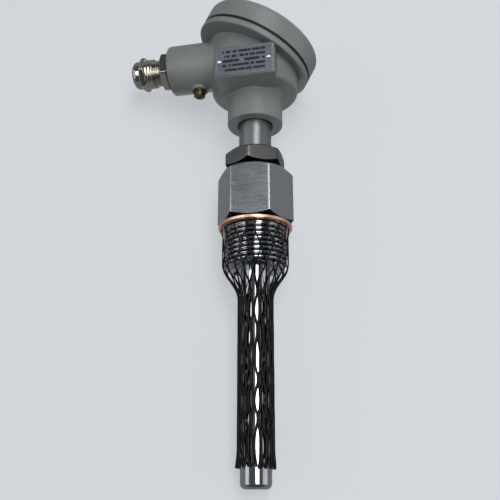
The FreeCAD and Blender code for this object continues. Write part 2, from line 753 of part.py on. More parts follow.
def make_terminal_block():
    """Ceramic block with an eye for the leads, notches for the springs and blind screw holes."""
    eye_r = SHEATH_R + BLOCK_EYE_GAP
    notch_r = SCREW_HEAD_R + BLOCK_NOTCH_GAP
    body = turned(
        [
            (eye_r, BLOCK_Z),
            (BLOCK_R, BLOCK_Z),
            (BLOCK_R, CLAMP_Z - BLOCK_EDGE),
            (BLOCK_R - BLOCK_EDGE, CLAMP_Z),
            (eye_r, CLAMP_Z),
        ]
    )
    cuts = [rod(notch_r, BLOCK_Z - OVERLAP, CLAMP_Z + OVERLAP, x, y) for x, y in screw_places()]
    for x, y, _ in terminal_places():
        cuts.append(rod(TERMINAL_SHANK_R, TERMINAL_Z - TERMINAL_SHANK, CLAMP_Z + OVERLAP, x, y))
    return body.cut(cuts)


def make_terminal_clamps():
    """Brass strips under the terminal screws."""
    clamps = []
    half_length, half_width = CLAMP_LENGTH / 2, CLAMP_WIDTH / 2
    hole = rod(TERMINAL_SHANK_R, CLAMP_Z - OVERLAP, TERMINAL_Z + OVERLAP)
    for x, y, angle in terminal_places():
        strip = block((-half_length, half_length), (-half_width, half_width), (CLAMP_Z, TERMINAL_Z))
        strip = strip.cut(hole)
        strip.rotate(ORIGIN, UP, angle)
        strip.translate(V(x, y, 0))
        clamps.append(strip)
    return Part.makeCompound(clamps)


def make_terminal_screws():
    """Slotted screws through the clamps into the block."""
    screws = []
    top = TERMINAL_Z + TERMINAL_HEAD_HEIGHT
    for x, y, angle in terminal_places():
        head = rod(TERMINAL_HEAD_R, TERMINAL_Z, top, x, y)
        turn = angle + TERMINAL_SLOT_TURN
        head = slotted(head, TERMINAL_HEAD_R, SCREW_SLOT, SCREW_SLOT_DEPTH, top, turn, x, y)
        shank = rod(TERMINAL_SHANK_R - CLOSE_GAP, TERMINAL_Z - TERMINAL_SHANK, TERMINAL_Z, x, y)
        screws.append(head.fuse(shank).removeSplitter())
    return Part.makeCompound(screws)


def make_lead_wires():
    """Leads up out of the sheath, then over onto the inner end of a clamp."""
    leads = []
    low = BLOCK_Z + SHEATH_STUB
    high = TERMINAL_Z + LEAD_R + FACE_GAP
    bend_cut = LEAD_BEND_R * (1 - math.sqrt(0.5))
    for angle in TERMINAL_ANGLES[:LEAD_COUNT]:
        a = math.radians(angle)
        radial = V(math.cos(a), math.sin(a), 0)
        start = radial * LEAD_RING + UP * low
        bend_start = radial * LEAD_RING + UP * (high - LEAD_BEND_R)
        bend_middle = radial * (LEAD_RING + bend_cut) + UP * (high - bend_cut)
        bend_end = radial * (LEAD_RING + LEAD_BEND_R) + UP * high
        end = radial * (TERMINAL_REACH - TERMINAL_HEAD_R - CLOSE_GAP) + UP * high
        path = Part.Wire(
            [
                Part.LineSegment(start, bend_start).toShape(),
                Part.Arc(bend_start, bend_middle, bend_end).toShape(),
                Part.LineSegment(bend_end, end).toShape(),
            ]
        )
        section = Part.Wire(Part.makeCircle(LEAD_R, start, UP))
        leads.append(path.makePipeShell([section], True, False))
    return Part.makeCompound(leads)


def make_insert_screws():
    """Two captive screws that stand in the head's pillars."""
    screws = []
    seat = BLOCK_Z + SPRING_LENGTH
    top = seat + SCREW_HEAD_HEIGHT
    for x, y in screw_places():
        head = rod(SCREW_HEAD_R, seat, top, x, y)
        head = slotted(head, SCREW_HEAD_R, SCREW_SLOT, SCREW_SLOT_DEPTH, top, SCREW_SLOT_TURN, x, y)
        shank = rod(SCREW_R - CLOSE_GAP, PILLAR_Z - SCREW_IN_PILLAR, seat, x, y)
        screws.append(head.fuse(shank).removeSplitter())
    return Part.makeCompound(screws)


def coil_section(angle, height):
    """Corners of the spring wire's section at an angle round the coil."""
    out = V(math.cos(angle), math.sin(angle), 0)
    centre = out * SPRING_R + UP * height
    corners = []
    for k in range(SPRING_SIDES):
        b = 2 * math.pi * (k + 0.5) / SPRING_SIDES
        corners.append(centre + out * (SPRING_WIRE_R * math.cos(b)) + UP * (SPRING_WIRE_R * math.sin(b)))
    return corners


def make_coil(low, high):
    """Compression spring with flat facets, as one closed solid."""
    total = SPRING_TURNS * SPRING_STEPS
    start = low + SPRING_WIRE_R
    rise = (high - low - 2 * SPRING_WIRE_R) / total
    sections = [coil_section(2 * math.pi * i / SPRING_STEPS, start + rise * i) for i in range(total + 1)]
    faces = []
    for one, two in zip(sections, sections[1:]):
        for k in range(SPRING_SIDES):
            m = (k + 1) % SPRING_SIDES
            faces.append(Part.Face(Part.makePolygon([one[k], one[m], two[m], one[k]])))
            faces.append(Part.Face(Part.makePolygon([one[k], two[m], two[k], one[k]])))
    for end in (sections[0], sections[-1]):
        faces.append(Part.Face(Part.makePolygon(end + end[:1])))
    spring = Part.Solid(Part.Shell(faces))
    if spring.Volume < 0:
        spring.reverse()
    return spring


def make_insert_springs():
    """Springs between the plate and the screw heads."""
    springs = []
    for x, y in screw_places():
        spring = make_coil(BLOCK_Z + FACE_GAP, BLOCK_Z + SPRING_LENGTH - FACE_GAP)
        spring.translate(V(x, y, 0))
        springs.append(spring)
    return Part.makeCompound(springs)


def net_profile():
    """Inner outline of the net from the gasket down, as (z, radius)."""
    on_thread = THREAD_R + NET_GAP
    on_stem = STEM_R + NET_SLACK
    shoulder_z = THREAD_END_Z + NET_SHOULDER_RISE
    points = [(-NET_TOP_DROP, on_thread)]
    for step in range(NET_SHOULDER_STEPS + 1):
        share = step / NET_SHOULDER_STEPS
        left = ((1 - share) ** 2 * (1 + 2 * share)) ** NET_SHOULDER_POWER
        points.append((shoulder_z - NET_SHOULDER_LENGTH * share, on_stem + (on_thread - on_stem) * left))
    points.append((NET_BOTTOM_Z + NET_FLARE_LENGTH, on_stem))
    points.append((NET_BOTTOM_Z, on_stem + NET_FLARE))
    return points


def net_radius(z):
    """Outer radius of the net at a height."""
    points = net_profile()
    for (z_high, r_high), (z_low, r_low) in zip(points, points[1:]):
        if z >= z_low:
            break
    return r_low + (r_high - r_low) * (z - z_low) / (z_high - z_low) + NET_WALL


def net_gap(z, half_row):
    """One diamond gap at a height, as a prism that points along +X."""
    half_cell = math.pi * net_radius(z) / NET_COLUMNS
    edge = half_cell * half_row / math.hypot(half_cell, half_row)
    keep = 1 - NET_STRAND / 2 / edge
    wide, tall = half_cell * keep, half_row * keep
    start = STEM_R - OVERLAP
    corners = [(0, tall), (wide, 0), (0, -tall), (-wide, 0), (0, tall)]
    diamond = Part.makePolygon([V(start, y, z + rise) for y, rise in corners])
    return Part.Face(diamond).extrude(V(THREAD_R + NET_GAP + NET_WALL, 0, 0))


def make_protective_net():
    """Net sleeve: one wall that follows thread and stem, with staggered diamond gaps.

    The first and last rows lie on the cut ends, so the strands end open there.
    """
    inner = net_profile()
    wall = turned([(r + NET_WALL, z) for z, r in inner] + [(r, z) for z, r in reversed(inner)])
    top, bottom = inner[0][0], inner[-1][0]
    half_row = (top - bottom) / (NET_ROWS - 1)
    gaps = []
    for row in range(NET_ROWS):
        gap = net_gap(top - half_row * row, half_row)
        for column in range(NET_COLUMNS):
            copy = gap.copy()
            copy.rotate(ORIGIN, UP, 360 / NET_COLUMNS * (column + row % 2 / 2))
            gaps.append(copy)
    return wall.cut(gaps)


PIECES = {
    "thermowell": make_thermowell,
    "copper_gasket": make_copper_gasket,
    "protective_net": make_protective_net,
    "neck_tube": make_neck_tube,
    "lock_nut": make_lock_nut,
    "head_body": make_head_body,
    "head_cover": make_head_cover,
    "cover_seal": make_cover_seal,
    "nameplate": make_nameplate,
    "nameplate_rivets": make_nameplate_rivets,
    "earth_screw": make_earth_screw,
    "earth_washer": make_earth_washer,
    "gland_body": make_gland_body,
    "gland_gasket": make_gland_gasket,
    "gland_seal": make_gland_seal,
    "gland_slip_ring": make_gland_slip_ring,
    "gland_nut": make_gland_nut,
    "insert_flange": make_insert_flange,
    "insert_sheath": make_insert_sheath,
    "terminal_block": make_terminal_block,
    "terminal_clamps": make_terminal_clamps,
    "terminal_screws": make_terminal_screws,
    "lead_wires": make_lead_wires,
    "insert_screws": make_insert_screws,
    "insert_springs": make_insert_springs,
}


def main():
    """Build every piece and write it to its own file."""
    os.makedirs("parts", exist_ok=True)
    for name, make in PIECES.items():
        shape = make()
        shape.exportStep(f"parts/{name}.step")
        print(name, shape.isValid(), len(shape.Solids), round(shape.Volume, 1))


main()
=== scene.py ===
"""Looks of a screw-in temperature sensor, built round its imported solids.

Blender works in metres, in the frame of the solids: +Z runs up the stem to the head, the cable entry
points to -X and the nameplate faces -Y. The classes hold their sizes in millimetres.
"""

import json
import logging
import math
from dataclasses import dataclass, fields
from enum import Enum
from typing import Any, Callable, ClassVar, Dict, List, Optional, Sequence, Tuple

import bmesh
import bpy
from mathutils import Matrix, Vector

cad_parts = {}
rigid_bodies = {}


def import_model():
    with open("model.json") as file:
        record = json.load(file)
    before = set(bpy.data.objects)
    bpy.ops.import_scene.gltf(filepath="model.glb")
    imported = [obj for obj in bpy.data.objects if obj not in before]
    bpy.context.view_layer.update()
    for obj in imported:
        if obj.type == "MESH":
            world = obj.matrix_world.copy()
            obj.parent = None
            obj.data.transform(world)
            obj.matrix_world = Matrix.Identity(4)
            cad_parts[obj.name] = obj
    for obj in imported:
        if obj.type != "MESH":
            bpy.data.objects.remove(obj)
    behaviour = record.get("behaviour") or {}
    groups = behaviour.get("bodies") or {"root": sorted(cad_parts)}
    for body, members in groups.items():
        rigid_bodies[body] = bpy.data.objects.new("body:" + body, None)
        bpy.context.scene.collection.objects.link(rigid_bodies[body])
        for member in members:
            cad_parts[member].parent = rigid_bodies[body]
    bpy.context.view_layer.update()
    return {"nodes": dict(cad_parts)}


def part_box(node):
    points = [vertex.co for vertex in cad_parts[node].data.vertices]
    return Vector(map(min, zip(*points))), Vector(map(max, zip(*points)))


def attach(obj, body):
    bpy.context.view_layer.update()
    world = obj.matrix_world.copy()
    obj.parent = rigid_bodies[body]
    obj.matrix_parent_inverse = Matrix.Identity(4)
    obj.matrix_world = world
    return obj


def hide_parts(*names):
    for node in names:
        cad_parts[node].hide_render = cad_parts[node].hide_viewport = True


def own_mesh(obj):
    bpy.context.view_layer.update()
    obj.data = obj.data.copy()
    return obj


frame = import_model()

LOG = logging.getLogger("temperature_sensor")
MM = 0.001
SHARP_ANGLE = math.radians(62.0)
WELD = 1e-5
SLIVER = 1e-6
FULL_TURN = 2 * math.pi
SIXTH = math.pi / 3
UP = Vector((0.0, 0.0, 1.0))

Colour = Tuple[float, float, float]
Span = Tuple[float, float]
Socket = bpy.types.NodeSocket
RowShape = Callable[[float], Tuple[float, float]]

# The values that most of a noise lies between.
MIDDLE: Span = (0.3, 0.7)


def rgba(colour: Colour) -> Tuple[float, float, float, float]:
    """Add a full alpha to a linear colour."""
    return (*colour, 1.0)


def toned(colour: Colour, factor: float) -> Colour:
    """A colour made darker or lighter by a factor, at most white."""
    return tuple(min(1.0, factor * c) for c in colour)


class Grain(Enum):
    """Which way the tool marks of a metal run, as the stretch of a noise along X, Y and Z."""

    AROUND_Z = (70.0, 70.0, 5200.0)
    AROUND_X = (5200.0, 70.0, 70.0)
    ALONG_Z = (2600.0, 2600.0, 45.0)
    ALONG_X = (60.0, 5200.0, 5200.0)
    EVEN = (1500.0, 1500.0, 1500.0)


class Detail(Enum):
    """How fine a noise is, in octaves."""

    PLAIN = 1.0
    FINE = 2.0
    CLOUDED = 3.0
    STAINED = 4.0


class Draw(Enum):
    """Which of a net strand's random values is drawn."""

    TOP = 1
    BOTTOM = 2
    FLARE = 5
    SPREAD = 9


class Tree:
    """A node tree with short calls for adding nodes and joining their sockets."""

    def __init__(self, tree: bpy.types.NodeTree) -> None:
        """Keep the tree that the calls work on."""
        self.tree = tree

    def feed(self, socket: Socket, value: Any) -> None:
        """Link a socket to another one, or set its value.

        Args:
            socket: the input to fill.
            value: an output socket, or a plain value.
        """
        if isinstance(value, Socket):
            self.tree.links.new(value, socket)
        else:
            socket.default_value = value

    def add(self, kind: str, inputs: Optional[Dict[Any, Any]] = None,
            **settings: Any) -> bpy.types.Node:
        """Add a node.

        Args:
            kind: Blender's name of the node type.
            inputs: what goes into its sockets, by name or index.
            settings: the node's own properties.

        Returns:
            The new node.
        """
        node = self.tree.nodes.new(kind)
        for key, value in settings.items():
            setattr(node, key, value)
        for key, value in (inputs or {}).items():
            self.feed(node.inputs[key], value)
        return node

    def calc(self, operation: str, *values: Any, clamp: bool = False) -> Socket:
        """Add a Math node.

        Args:
            operation: the node's operation, such as "MULTIPLY".
            values: sockets or numbers for its inputs.
            clamp: whether the result stays between 0 and 1.

        Returns:
            The result's socket.
        """
        node = self.add("ShaderNodeMath", operation=operation, use_clamp=clamp)
        for socket, value in zip(node.inputs, values):
            self.feed(socket, value)
        return node.outputs[0]

    def total(self, first: Any, *others: Any) -> Socket:
        """Add values up."""
        for other in others:
            first = self.calc("ADD", first, other)
        return first

    def product(self, first: Any, *others: Any) -> Socket:
        """Multiply values."""
        for other in others:
            first = self.calc("MULTIPLY", first, other)
        return first

    def weighed(self, *shares: Tuple[Socket, float]) -> Socket:
        """Add values up, each times its weight."""
        return self.total(*(self.product(value, weight) for value, weight in shares))

    def split(self, vector: Socket) -> List[Socket]:
        """X, Y and Z of a vector."""
        return list(self.add("ShaderNodeSeparateXYZ", {"Vector": vector}).outputs)

    def vector(self, x: Any = 0.0, y: Any = 0.0, z: Any = 0.0) -> Socket:
        """A vector from its X, Y and Z."""
        return self.add("ShaderNodeCombineXYZ", {"X": x, "Y": y, "Z": z}).outputs["Vector"]

    def from_axis(self, x: Socket, y: Socket) -> Socket:
        """Distance of a point from the Z axis."""
        return self.calc("SQRT", self.total(self.product(x, x), self.product(y, y)))

    def mix(self, factor: Any, first: Socket, second: Socket) -> Socket:
        """Mix two shaders by a factor."""
        return self.add("ShaderNodeMixShader", {0: factor, 1: first, 2: second}).outputs[0]

    def rays(self) -> Tuple[Socket, Socket]:
        """1 for a ray from the camera, and 1 for one that is mirrored or comes through glass."""
        ray = self.add("ShaderNodeLightPath").outputs
        mirrored = self.calc("MAXIMUM", ray["Is Glossy Ray"], ray["Is Transmission Ray"])
        return ray["Is Camera Ray"], mirrored

    def fit(self, value: Any, low: Any, high: Any, to_low: Any = 0.0, to_high: Any = 1.0,
            smooth: bool = False) -> Socket:
        """Map a range of values onto another one and clamp it.

        Args:
            value: the socket to map.
            low: value that becomes to_low.
            high: value that becomes to_high.
            to_low: start of the new range.
            to_high: end of the new range.
            smooth: whether the ends ease in and out.

        Returns:
            The mapped value's socket.
        """
        kind = "SMOOTHSTEP" if smooth else "LINEAR"
        node = self.add("ShaderNodeMapRange", interpolation_type=kind)
        for key, item in zip(("Value", "From Min", "From Max", "To Min", "To Max"),
                             (value, low, high, to_low, to_high)):
            self.feed(node.inputs[key], item)
        return node.outputs["Result"]


class Shader(Tree):
    """A material, which starts with one principled surface."""

    EASE_SAMPLES: ClassVar[int] = 6
    FACE_DOT: ClassVar[float] = 0.995
    EDGE_DOT: ClassVar[float] = 0.86
    COLOUR_MIX: ClassVar[Tuple[int, int, int]] = (0, 6, 7)
    COLOUR_OUT: ClassVar[int] = 2

    def __init__(self, name: str) -> None:
        """Make the material.

        Args:
            name: the material's name.
        """
        self.material = bpy.data.materials.new(name)
        self.material.use_nodes = True
        super().__init__(self.material.node_tree)
        self.surface = self.tree.nodes["Principled BSDF"]
        self.place = self.add("ShaderNodeTexCoord").outputs["Object"]

    def surface_is(self, **sockets: Any) -> bpy.types.Material:
        """Fill sockets of the surface; an underscore in a name stands for a space."""
        for name, value in sockets.items():
            self.feed(self.surface.inputs[name.replace("_", " ")], value)
        return self.material

    def show(self, shader: Socket) -> bpy.types.Material:
        """Show another shader in place of the principled surface."""
        self.feed(self.tree.nodes["Material Output"].inputs["Surface"], shader)
        return self.material

    def glow(self, colour: Colour, strength: float) -> Socket:
        """A shader that gives off its own light."""
        inputs = {"Color": rgba(colour), "Strength": strength}
        return self.add("ShaderNodeEmission", inputs).outputs["Emission"]

    def noise(self, scale: float, detail: Detail = Detail.FINE,
              vector: Optional[Socket] = None) -> Socket:
        """Add a noise texture.

        Args:
            scale: waves per metre, or per unit of the vector.
            detail: how fine it is.
            vector: coordinates, if not the object's own.

        Returns:
            The noise's value.
        """
        inputs = {"Vector": vector or self.place, "Scale": scale, "Detail": detail.value}
        return self.add("ShaderNodeTexNoise", inputs).outputs["Fac"]

    def drawn_out(self, grain: Grain) -> Socket:
        """A noise drawn out along a grain."""
        inputs = {"Vector": self.place, "Scale": grain.value}
        stretched = self.add("ShaderNodeMapping", inputs).outputs["Vector"]
        return self.noise(1.0, Detail.CLOUDED, stretched)

    def blend(self, factor: Any, first: Any, second: Any) -> Socket:
        """Mix two colours by a factor."""
        node = self.add("ShaderNodeMix", data_type="RGBA")
        colours = [rgba(c) if isinstance(c, tuple) else c for c in (first, second)]
        for index, value in zip(self.COLOUR_MIX, (factor, *colours)):
            self.feed(node.inputs[index], value)
        return node.outputs[self.COLOUR_OUT]

    def patched(self, base: Any, colour: Colour, noise: Socket, span: Span,
                share: float = 1.0) -> Socket:
        """Blend a colour in where a noise is high.

        Args:
            base: the colour to start from.
            colour: the colour of the patches.
            noise: the noise's value.
            span: values between which the patches grow.
            share: how much of the colour shows where they are full.

        Returns:
            The blended colour.
        """
        return self.blend(self.fit(noise, *span, 0.0, share), base, colour)

    def true_normal(self) -> Socket:
        """Normal of the face itself."""
        return self.add("ShaderNodeNewGeometry").outputs["True Normal"]

    def rounded(self, radius: float) -> Socket:
        """Normal of a surface whose edges are eased by a radius in millimetres."""
        node = self.add("ShaderNodeBevel", {"Radius": radius * MM}, samples=self.EASE_SAMPLES)
        return node.outputs["Normal"]

    def edges(self, eased: Socket) -> Socket:
        """How near a point lies to an edge, from the eased normal: 0 on a face, 1 on an edge."""
        inputs = {0: eased, 1: self.true_normal()}
        dot = self.add("ShaderNodeVectorMath", inputs, operation="DOT_PRODUCT")
        return self.fit(dot.outputs["Value"], self.FACE_DOT, self.EDGE_DOT)

    def bump(self, height: Socket, depth: float, strength: float,
             normal: Optional[Socket] = None) -> Socket:
        """Raise a surface by a height.

        Args:
            height: socket from 0 to 1.
            depth: millimetres that a height of 1 stands for.
            strength: how much of it shows.
            normal: normal to start from.

        Returns:
            The bumped normal.
        """
        inputs = {"Height": height, "Distance": depth * MM, "Strength": strength}
        if normal is not None:
            inputs["Normal"] = normal
        return self.add("ShaderNodeBump", inputs).outputs["Normal"]


@dataclass(frozen=True)
class Recipe:
    """What every finish has: the material slot that it is for."""

    name: str

    def material(self) -> bpy.types.Material:
        """Build the finish's material."""
        raise NotImplementedError


@dataclass(frozen=True)
class CastPaint(Recipe):
    """Smooth machine paint over a die casting.

    The seam between head and cover lies between two distances along the cover's tilted axis; shade is
    painted along it as a near-black band.
    """

    colour: Colour
    pale: Colour
    edge_radius: float = 0.5
    cloud_scale: float = 48.0
    clouded: Span = (0.34, 0.68)
    fleck_scale: float = 2100.0
    flecked: Span = (0.58, 0.78)
    fleck_share: float = 0.55
    fleck_tone: float = 0.82
    worn: Span = (0.35, 0.7)
    worn_share: Span = (0.12, 0.5)
    worn_tone: float = 1.45
    peel_scale: float = 780.0
    peel_weight: float = 0.7
    peel_depth: float = 0.12
    peel_shown: float = 0.55
    roughness: Span = (0.4, 0.54)
    specular: float = 0.42
    seam: Span = (112.45, 114.5)
    seam_tilt: float = 27.5
    seam_fade: float = 0.15
    # How dark the shade painted along the seam is.
    grime_tone: float = 0.06

    def material(self) -> bpy.types.Material:
        """Build the paint: clouding, orange peel, thin paint along the edges, painted shade in the
        seam.
        """
        s = Shader(self.name)
        eased = s.rounded(self.edge_radius)
        cloud = s.noise(self.cloud_scale, Detail.CLOUDED)
        fleck = s.noise(self.fleck_scale)
        peel = s.noise(self.peel_scale)
        base = s.patched(self.colour, self.pale, cloud, self.clouded)
        dark = toned(self.colour, self.fleck_tone)
        base = s.patched(base, dark, fleck, self.flecked, self.fleck_share)
        worn = s.product(s.edges(eased), s.fit(cloud, *self.worn, *self.worn_share))
        base = s.blend(worn, base, toned(self.pale, self.worn_tone))
        # Painted shade: the paint is darkened almost to black along the seam between cover and head.
        base = s.blend(self.in_seam(s), base, toned(self.colour, self.grime_tone))
        height = s.weighed((peel, self.peel_weight), (fleck, 1.0 - self.peel_weight))
        normal = s.bump(height, self.peel_depth, self.peel_shown, eased)
        rough = s.fit(peel, *MIDDLE, *self.roughness)
        return s.surface_is(
            Base_Color=base, Roughness=rough, Normal=normal, Specular_IOR_Level=self.specular
        )

    def in_seam(self, s: Shader) -> Socket:
        """Where shade is painted along the seam: 1 there, 0 elsewhere."""
        tilt = math.radians(self.seam_tilt)
        low, high, fade = (v * MM for v in (*self.seam, self.seam_fade))
        x, _, z = s.split(s.place)
        along = s.weighed((x, math.sin(tilt)), (z, math.cos(tilt)))
        return s.product(s.fit(along, low - fade, low), s.fit(along, high, high + fade, 1.0, 0.0))


@dataclass(frozen=True)
class PaintedGrooveShade:
    """Painted shade in a groove about Z, and on the undersides up to a height just above it."""

    low: float
    high: float
    reach: float
    tone: float = 0.06
    facing_down: float = -0.3

    def mask(self, s: Shader) -> Socket:
        """1 where the shade is painted, 0 elsewhere."""
        height = s.split(s.place)[2]
        down = s.calc("LESS_THAN", s.split(s.true_normal())[2], self.facing_down)
        above = s.product(s.calc("LESS_THAN", height, self.reach * MM), down)
        inside = s.calc("MAXIMUM", s.calc("LESS_THAN", height, self.high * MM), above)
        return s.product(inside, s.calc("GREATER_THAN", height, self.low * MM))


@dataclass(frozen=True)
class PaintedRootShade:
    """Painted shade in the roots of a thread about Z, between two shares of its depth below the
    crests.
    """

    low: float
    high: float
    root_r: float
    crest_r: float
    tone: float = 0.12
    starts: float = 0.3
    full: float = 0.75
    margin: float = 0.2

    def mask(self, s: Shader) -> Socket:
        """1 in the roots, 0 on the crests and off the thread."""
        x, y, z = s.split(s.place)
        radius = s.from_axis(x, y)
        thin, thick = (
            (self.crest_r - share * (self.crest_r - self.root_r)) * MM
            for share in (self.starts, self.full)
        )
        deep = s.fit(radius, thick, thin, 1.0, 0.0)
        above = s.calc("GREATER_THAN", z, self.low * MM)
        below = s.calc("LESS_THAN", z, self.high * MM)
        outside = s.calc("GREATER_THAN", radius, (self.root_r - self.margin) * MM)
        return s.product(deep, above, below, outside)


@dataclass(frozen=True)
class Metal(Recipe):
    """Bare or plated metal with tool marks, clouding and painted shade in grooves and thread roots,
    polished below a height.
    """

    colour: Colour
    stain: Colour
    grain: Grain
    smooth: float
    rough: float
    stain_share: float = 0.5
    stain_scale: float = 120.0
    stained: Span = (0.4, 0.66)
    finer: float = 9.0
    coarse_weight: float = 0.75
    mark_depth: float = 0.02
    mark_shown: float = 0.5
    mark_shade: float = 0.72
    mark_share: float = 0.5
    marked: Span = (0.5, 0.8)
    mark_weight: float = 0.55
    worn: Span = (0.32, 0.66)
    edge_radius: float = 0.25
    edge_share: float = 0.6
    edge_tone: float = 1.15
    polish_below: Optional[float] = None
    polish: float = 0.4
    polished_marks: float = 0.12
    polish_fade: float = 0.5
    # Masks of shade painted into the colour.
    oiled: Tuple[Any, ...] = ()

    def material(self) -> bpy.types.Material:
        """Build the metal from one noise drawn out along the grain and one for stains."""
        s = Shader(self.name)
        eased = s.rounded(self.edge_radius)
        marks = s.drawn_out(self.grain)
        cloud = s.noise(self.stain_scale, Detail.STAINED)
        fine = s.noise(self.stain_scale * self.finer)
        mottle = s.weighed((cloud, self.coarse_weight), (fine, 1.0 - self.coarse_weight))
        base = s.patched(self.colour, self.stain, mottle, self.stained, self.stain_share)
        shade = toned(self.colour, self.mark_shade)
        base = s.patched(base, shade, marks, self.marked, self.mark_share)
        edge = s.product(s.edges(eased), self.edge_share)
        base = s.blend(edge, base, toned(self.colour, self.edge_tone))
        # Painted shade: the base is darkened in grooves, on undersides and in thread roots.
        for darkening in self.oiled:
            base = s.blend(darkening.mask(s), base, toned(self.stain, darkening.tone))
        wear = s.weighed((marks, self.mark_weight), (mottle, 1.0 - self.mark_weight))
        rough = s.fit(wear, *self.worn, self.smooth, self.rough)
        if self.polish_below is not None:
            rough = self.polished(s, rough, self.polish)
            marks = self.polished(s, marks, self.polished_marks)
        normal = s.bump(marks, self.mark_depth, self.mark_shown, eased)
        return s.surface_is(Base_Color=base, Metallic=1.0, Roughness=rough, Normal=normal)

    def polished(self, s: Shader, value: Socket, share: float) -> Socket:
        """Bring a value down to a share of it below the height where the polish starts."""
        height = s.split(s.place)[2]
        level, fade = self.polish_below * MM, self.polish_fade * MM
        return s.product(value, s.fit(height, level - fade, level, share, 1.0))


@dataclass(frozen=True)
class Rubber(Recipe):
    """Moulded rubber or plastic with a slight bloom."""

    colour: Colour
    bloom: Colour
    smooth: float
    rough: float
    bloom_scale: float = 160.0
    bloomed: Span = (0.45, 0.75)
    bloom_share: float = 0.8
    grain_scale: float = 1800.0
    grain_depth: float = 0.06
    grain_shown: float = 0.4
    specular: float = 0.3

    def material(self) -> bpy.types.Material:
        """Build the rubber: a pale bloom in patches over a fine moulded grain."""
        s = Shader(self.name)
        cloud = s.noise(self.bloom_scale, Detail.CLOUDED)
        base = s.patched(self.colour, self.bloom, cloud, self.bloomed, self.bloom_share)
        rough = s.fit(cloud, *MIDDLE, self.smooth, self.rough)
        normal = s.bump(s.noise(self.grain_scale), self.grain_depth, self.grain_shown)
        return s.surface_is(
            Base_Color=base, Roughness=rough, Normal=normal, Specular_IOR_Level=self.specular
        )


@dataclass(frozen=True)
class NetPlastic(Recipe):
    """Glossy extruded plastic of the net, with draw lines along each strand."""

    colour: Colour
    scuff: Colour
    scuff_scale: float = 210.0
    scuffed: Span = (0.5, 0.8)
    scuff_share: float = 0.7
    roughness: Span = (0.13, 0.26)
    line_depth: float = 0.03
    line_shown: float = 0.4
    specular: float = 0.12

    def material(self) -> bpy.types.Material:
        """Build the plastic: draw lines and paler scuffs."""
        s = Shader(self.name)
        cloud = s.noise(self.scuff_scale, Detail.CLOUDED)
        base = s.patched(self.colour, self.scuff, cloud, self.scuffed, self.scuff_share)
        rough = s.fit(cloud, *MIDDLE, *self.roughness)
        normal = s.bump(s.drawn_out(Grain.ALONG_Z), self.line_depth, self.line_shown)
        return s.surface_is(
            Base_Color=base, Roughness=rough, Normal=normal, Specular_IOR_Level=self.specular
        )


@dataclass(frozen=True)
class PlateMetal(Recipe):
    """Brushed aluminium plate with rows of dark bars on an etched field inside a bare border."""

    metal: Colour
    field: Colour
    ink: Colour
    ink_share: float = 0.85
    border: float = 1.15
    border_fade: float = 0.25
    edge_radius: float = 0.15
    rows: int = 5
    row_inset: float = 1.84
    row_shift: float = 9.7
    bar_edge: Span = (0.24, 0.3)
    word_scale: float = 420.0
    word_edge: Span = (0.4, 0.43)
    end_margin: float = 4.6
    end_fade: float = 0.1
    brushed: Span = (0.4, 0.75)
    brush_share: float = 0.7
    brush_tone: float = 0.8
    cloud_scale: float = 170.0
    clouded: Span = (0.3, 0.72)
    worn_share: float = 0.72
    roughness: Span = (0.24, 0.38)
    etch_roughness: float = 0.12
    etch_weight: float = 0.75
    etch_depth: float = 0.08
    etch_shown: float = 0.6

    def bars(self, s: Shader, across: Socket, up: Socket, half: Vector) -> Socket:
        """Rows of plain bars of different lengths, where a plate carries its data.

        Args:
            s: the plate's shader.
            across: distance from the plate's middle along X.
            up: distance from its middle along Z.
            half: half of the plate's size.

        Returns:
            1 on a bar, 0 beside it.
        """
        pitch = 2 * (half.z - self.row_inset * MM) / self.rows
        row = s.total(s.calc("DIVIDE", up, pitch), self.rows / 2)
        off = s.calc("ABSOLUTE", s.calc("SUBTRACT", s.calc("FRACT", row), 0.5))
        line = s.product(s.calc("FLOOR", row), self.row_shift)
        spot = s.vector(s.product(across, self.word_scale), line)
        word = s.noise(1.0, Detail.PLAIN, spot)
        on_row = s.product(s.fit(off, *self.bar_edge, 1.0, 0.0), s.fit(word, *self.word_edge))
        reach = half.x - self.end_margin * MM
        away = s.calc("ABSOLUTE", across)
        ends = s.fit(away, reach - self.end_fade * MM, reach, 1.0, 0.0)
        inside = s.calc("LESS_THAN", s.calc("ABSOLUTE", up), pitch * self.rows / 2)
        return s.product(on_row, ends, inside)

    def within(self, s: Shader, off: Socket, half: float) -> Socket:
        """1 inside the border along one axis, 0 on it."""
        start = half - self.border * MM
        return s.fit(s.calc("ABSOLUTE", off), start, start + self.border_fade * MM, 1.0, 0.0)

    def material(self) -> bpy.types.Material:
        """Build the plate: the border follows the plate's own box, the brushing runs along X."""
        low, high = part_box("nameplate")
        middle, half = (low + high) / 2, (high - low) / 2
        s = Shader(self.name)
        eased = s.rounded(self.edge_radius)
        x, _, z = s.split(s.place)
        across, up = s.calc("SUBTRACT", x, middle.x), s.calc("SUBTRACT", z, middle.z)
        etched = s.product(self.within(s, across, half.x), self.within(s, up, half.z))
        brush = s.drawn_out(Grain.ALONG_X)
        cloud = s.noise(self.cloud_scale, Detail.CLOUDED)
        streak = toned(self.metal, self.brush_tone)
        bare = s.patched(self.metal, streak, brush, self.brushed, self.brush_share)
        kept = s.product(etched, s.fit(cloud, *self.clouded, 1.0, self.worn_share))
        base = s.blend(kept, bare, self.field)
        inked = s.product(self.bars(s, across, up, half), self.ink_share)
        base = s.blend(inked, base, self.ink)
        rough = s.fit(brush, *MIDDLE, *self.roughness)
        rough = s.total(rough, s.product(etched, self.etch_roughness))
        height = s.weighed((brush, 1.0 - self.etch_weight), (etched, -self.etch_weight))
        normal = s.bump(height, self.etch_depth, self.etch_shown, eased)
        return s.surface_is(Base_Color=base, Metallic=1.0, Roughness=rough, Normal=normal)


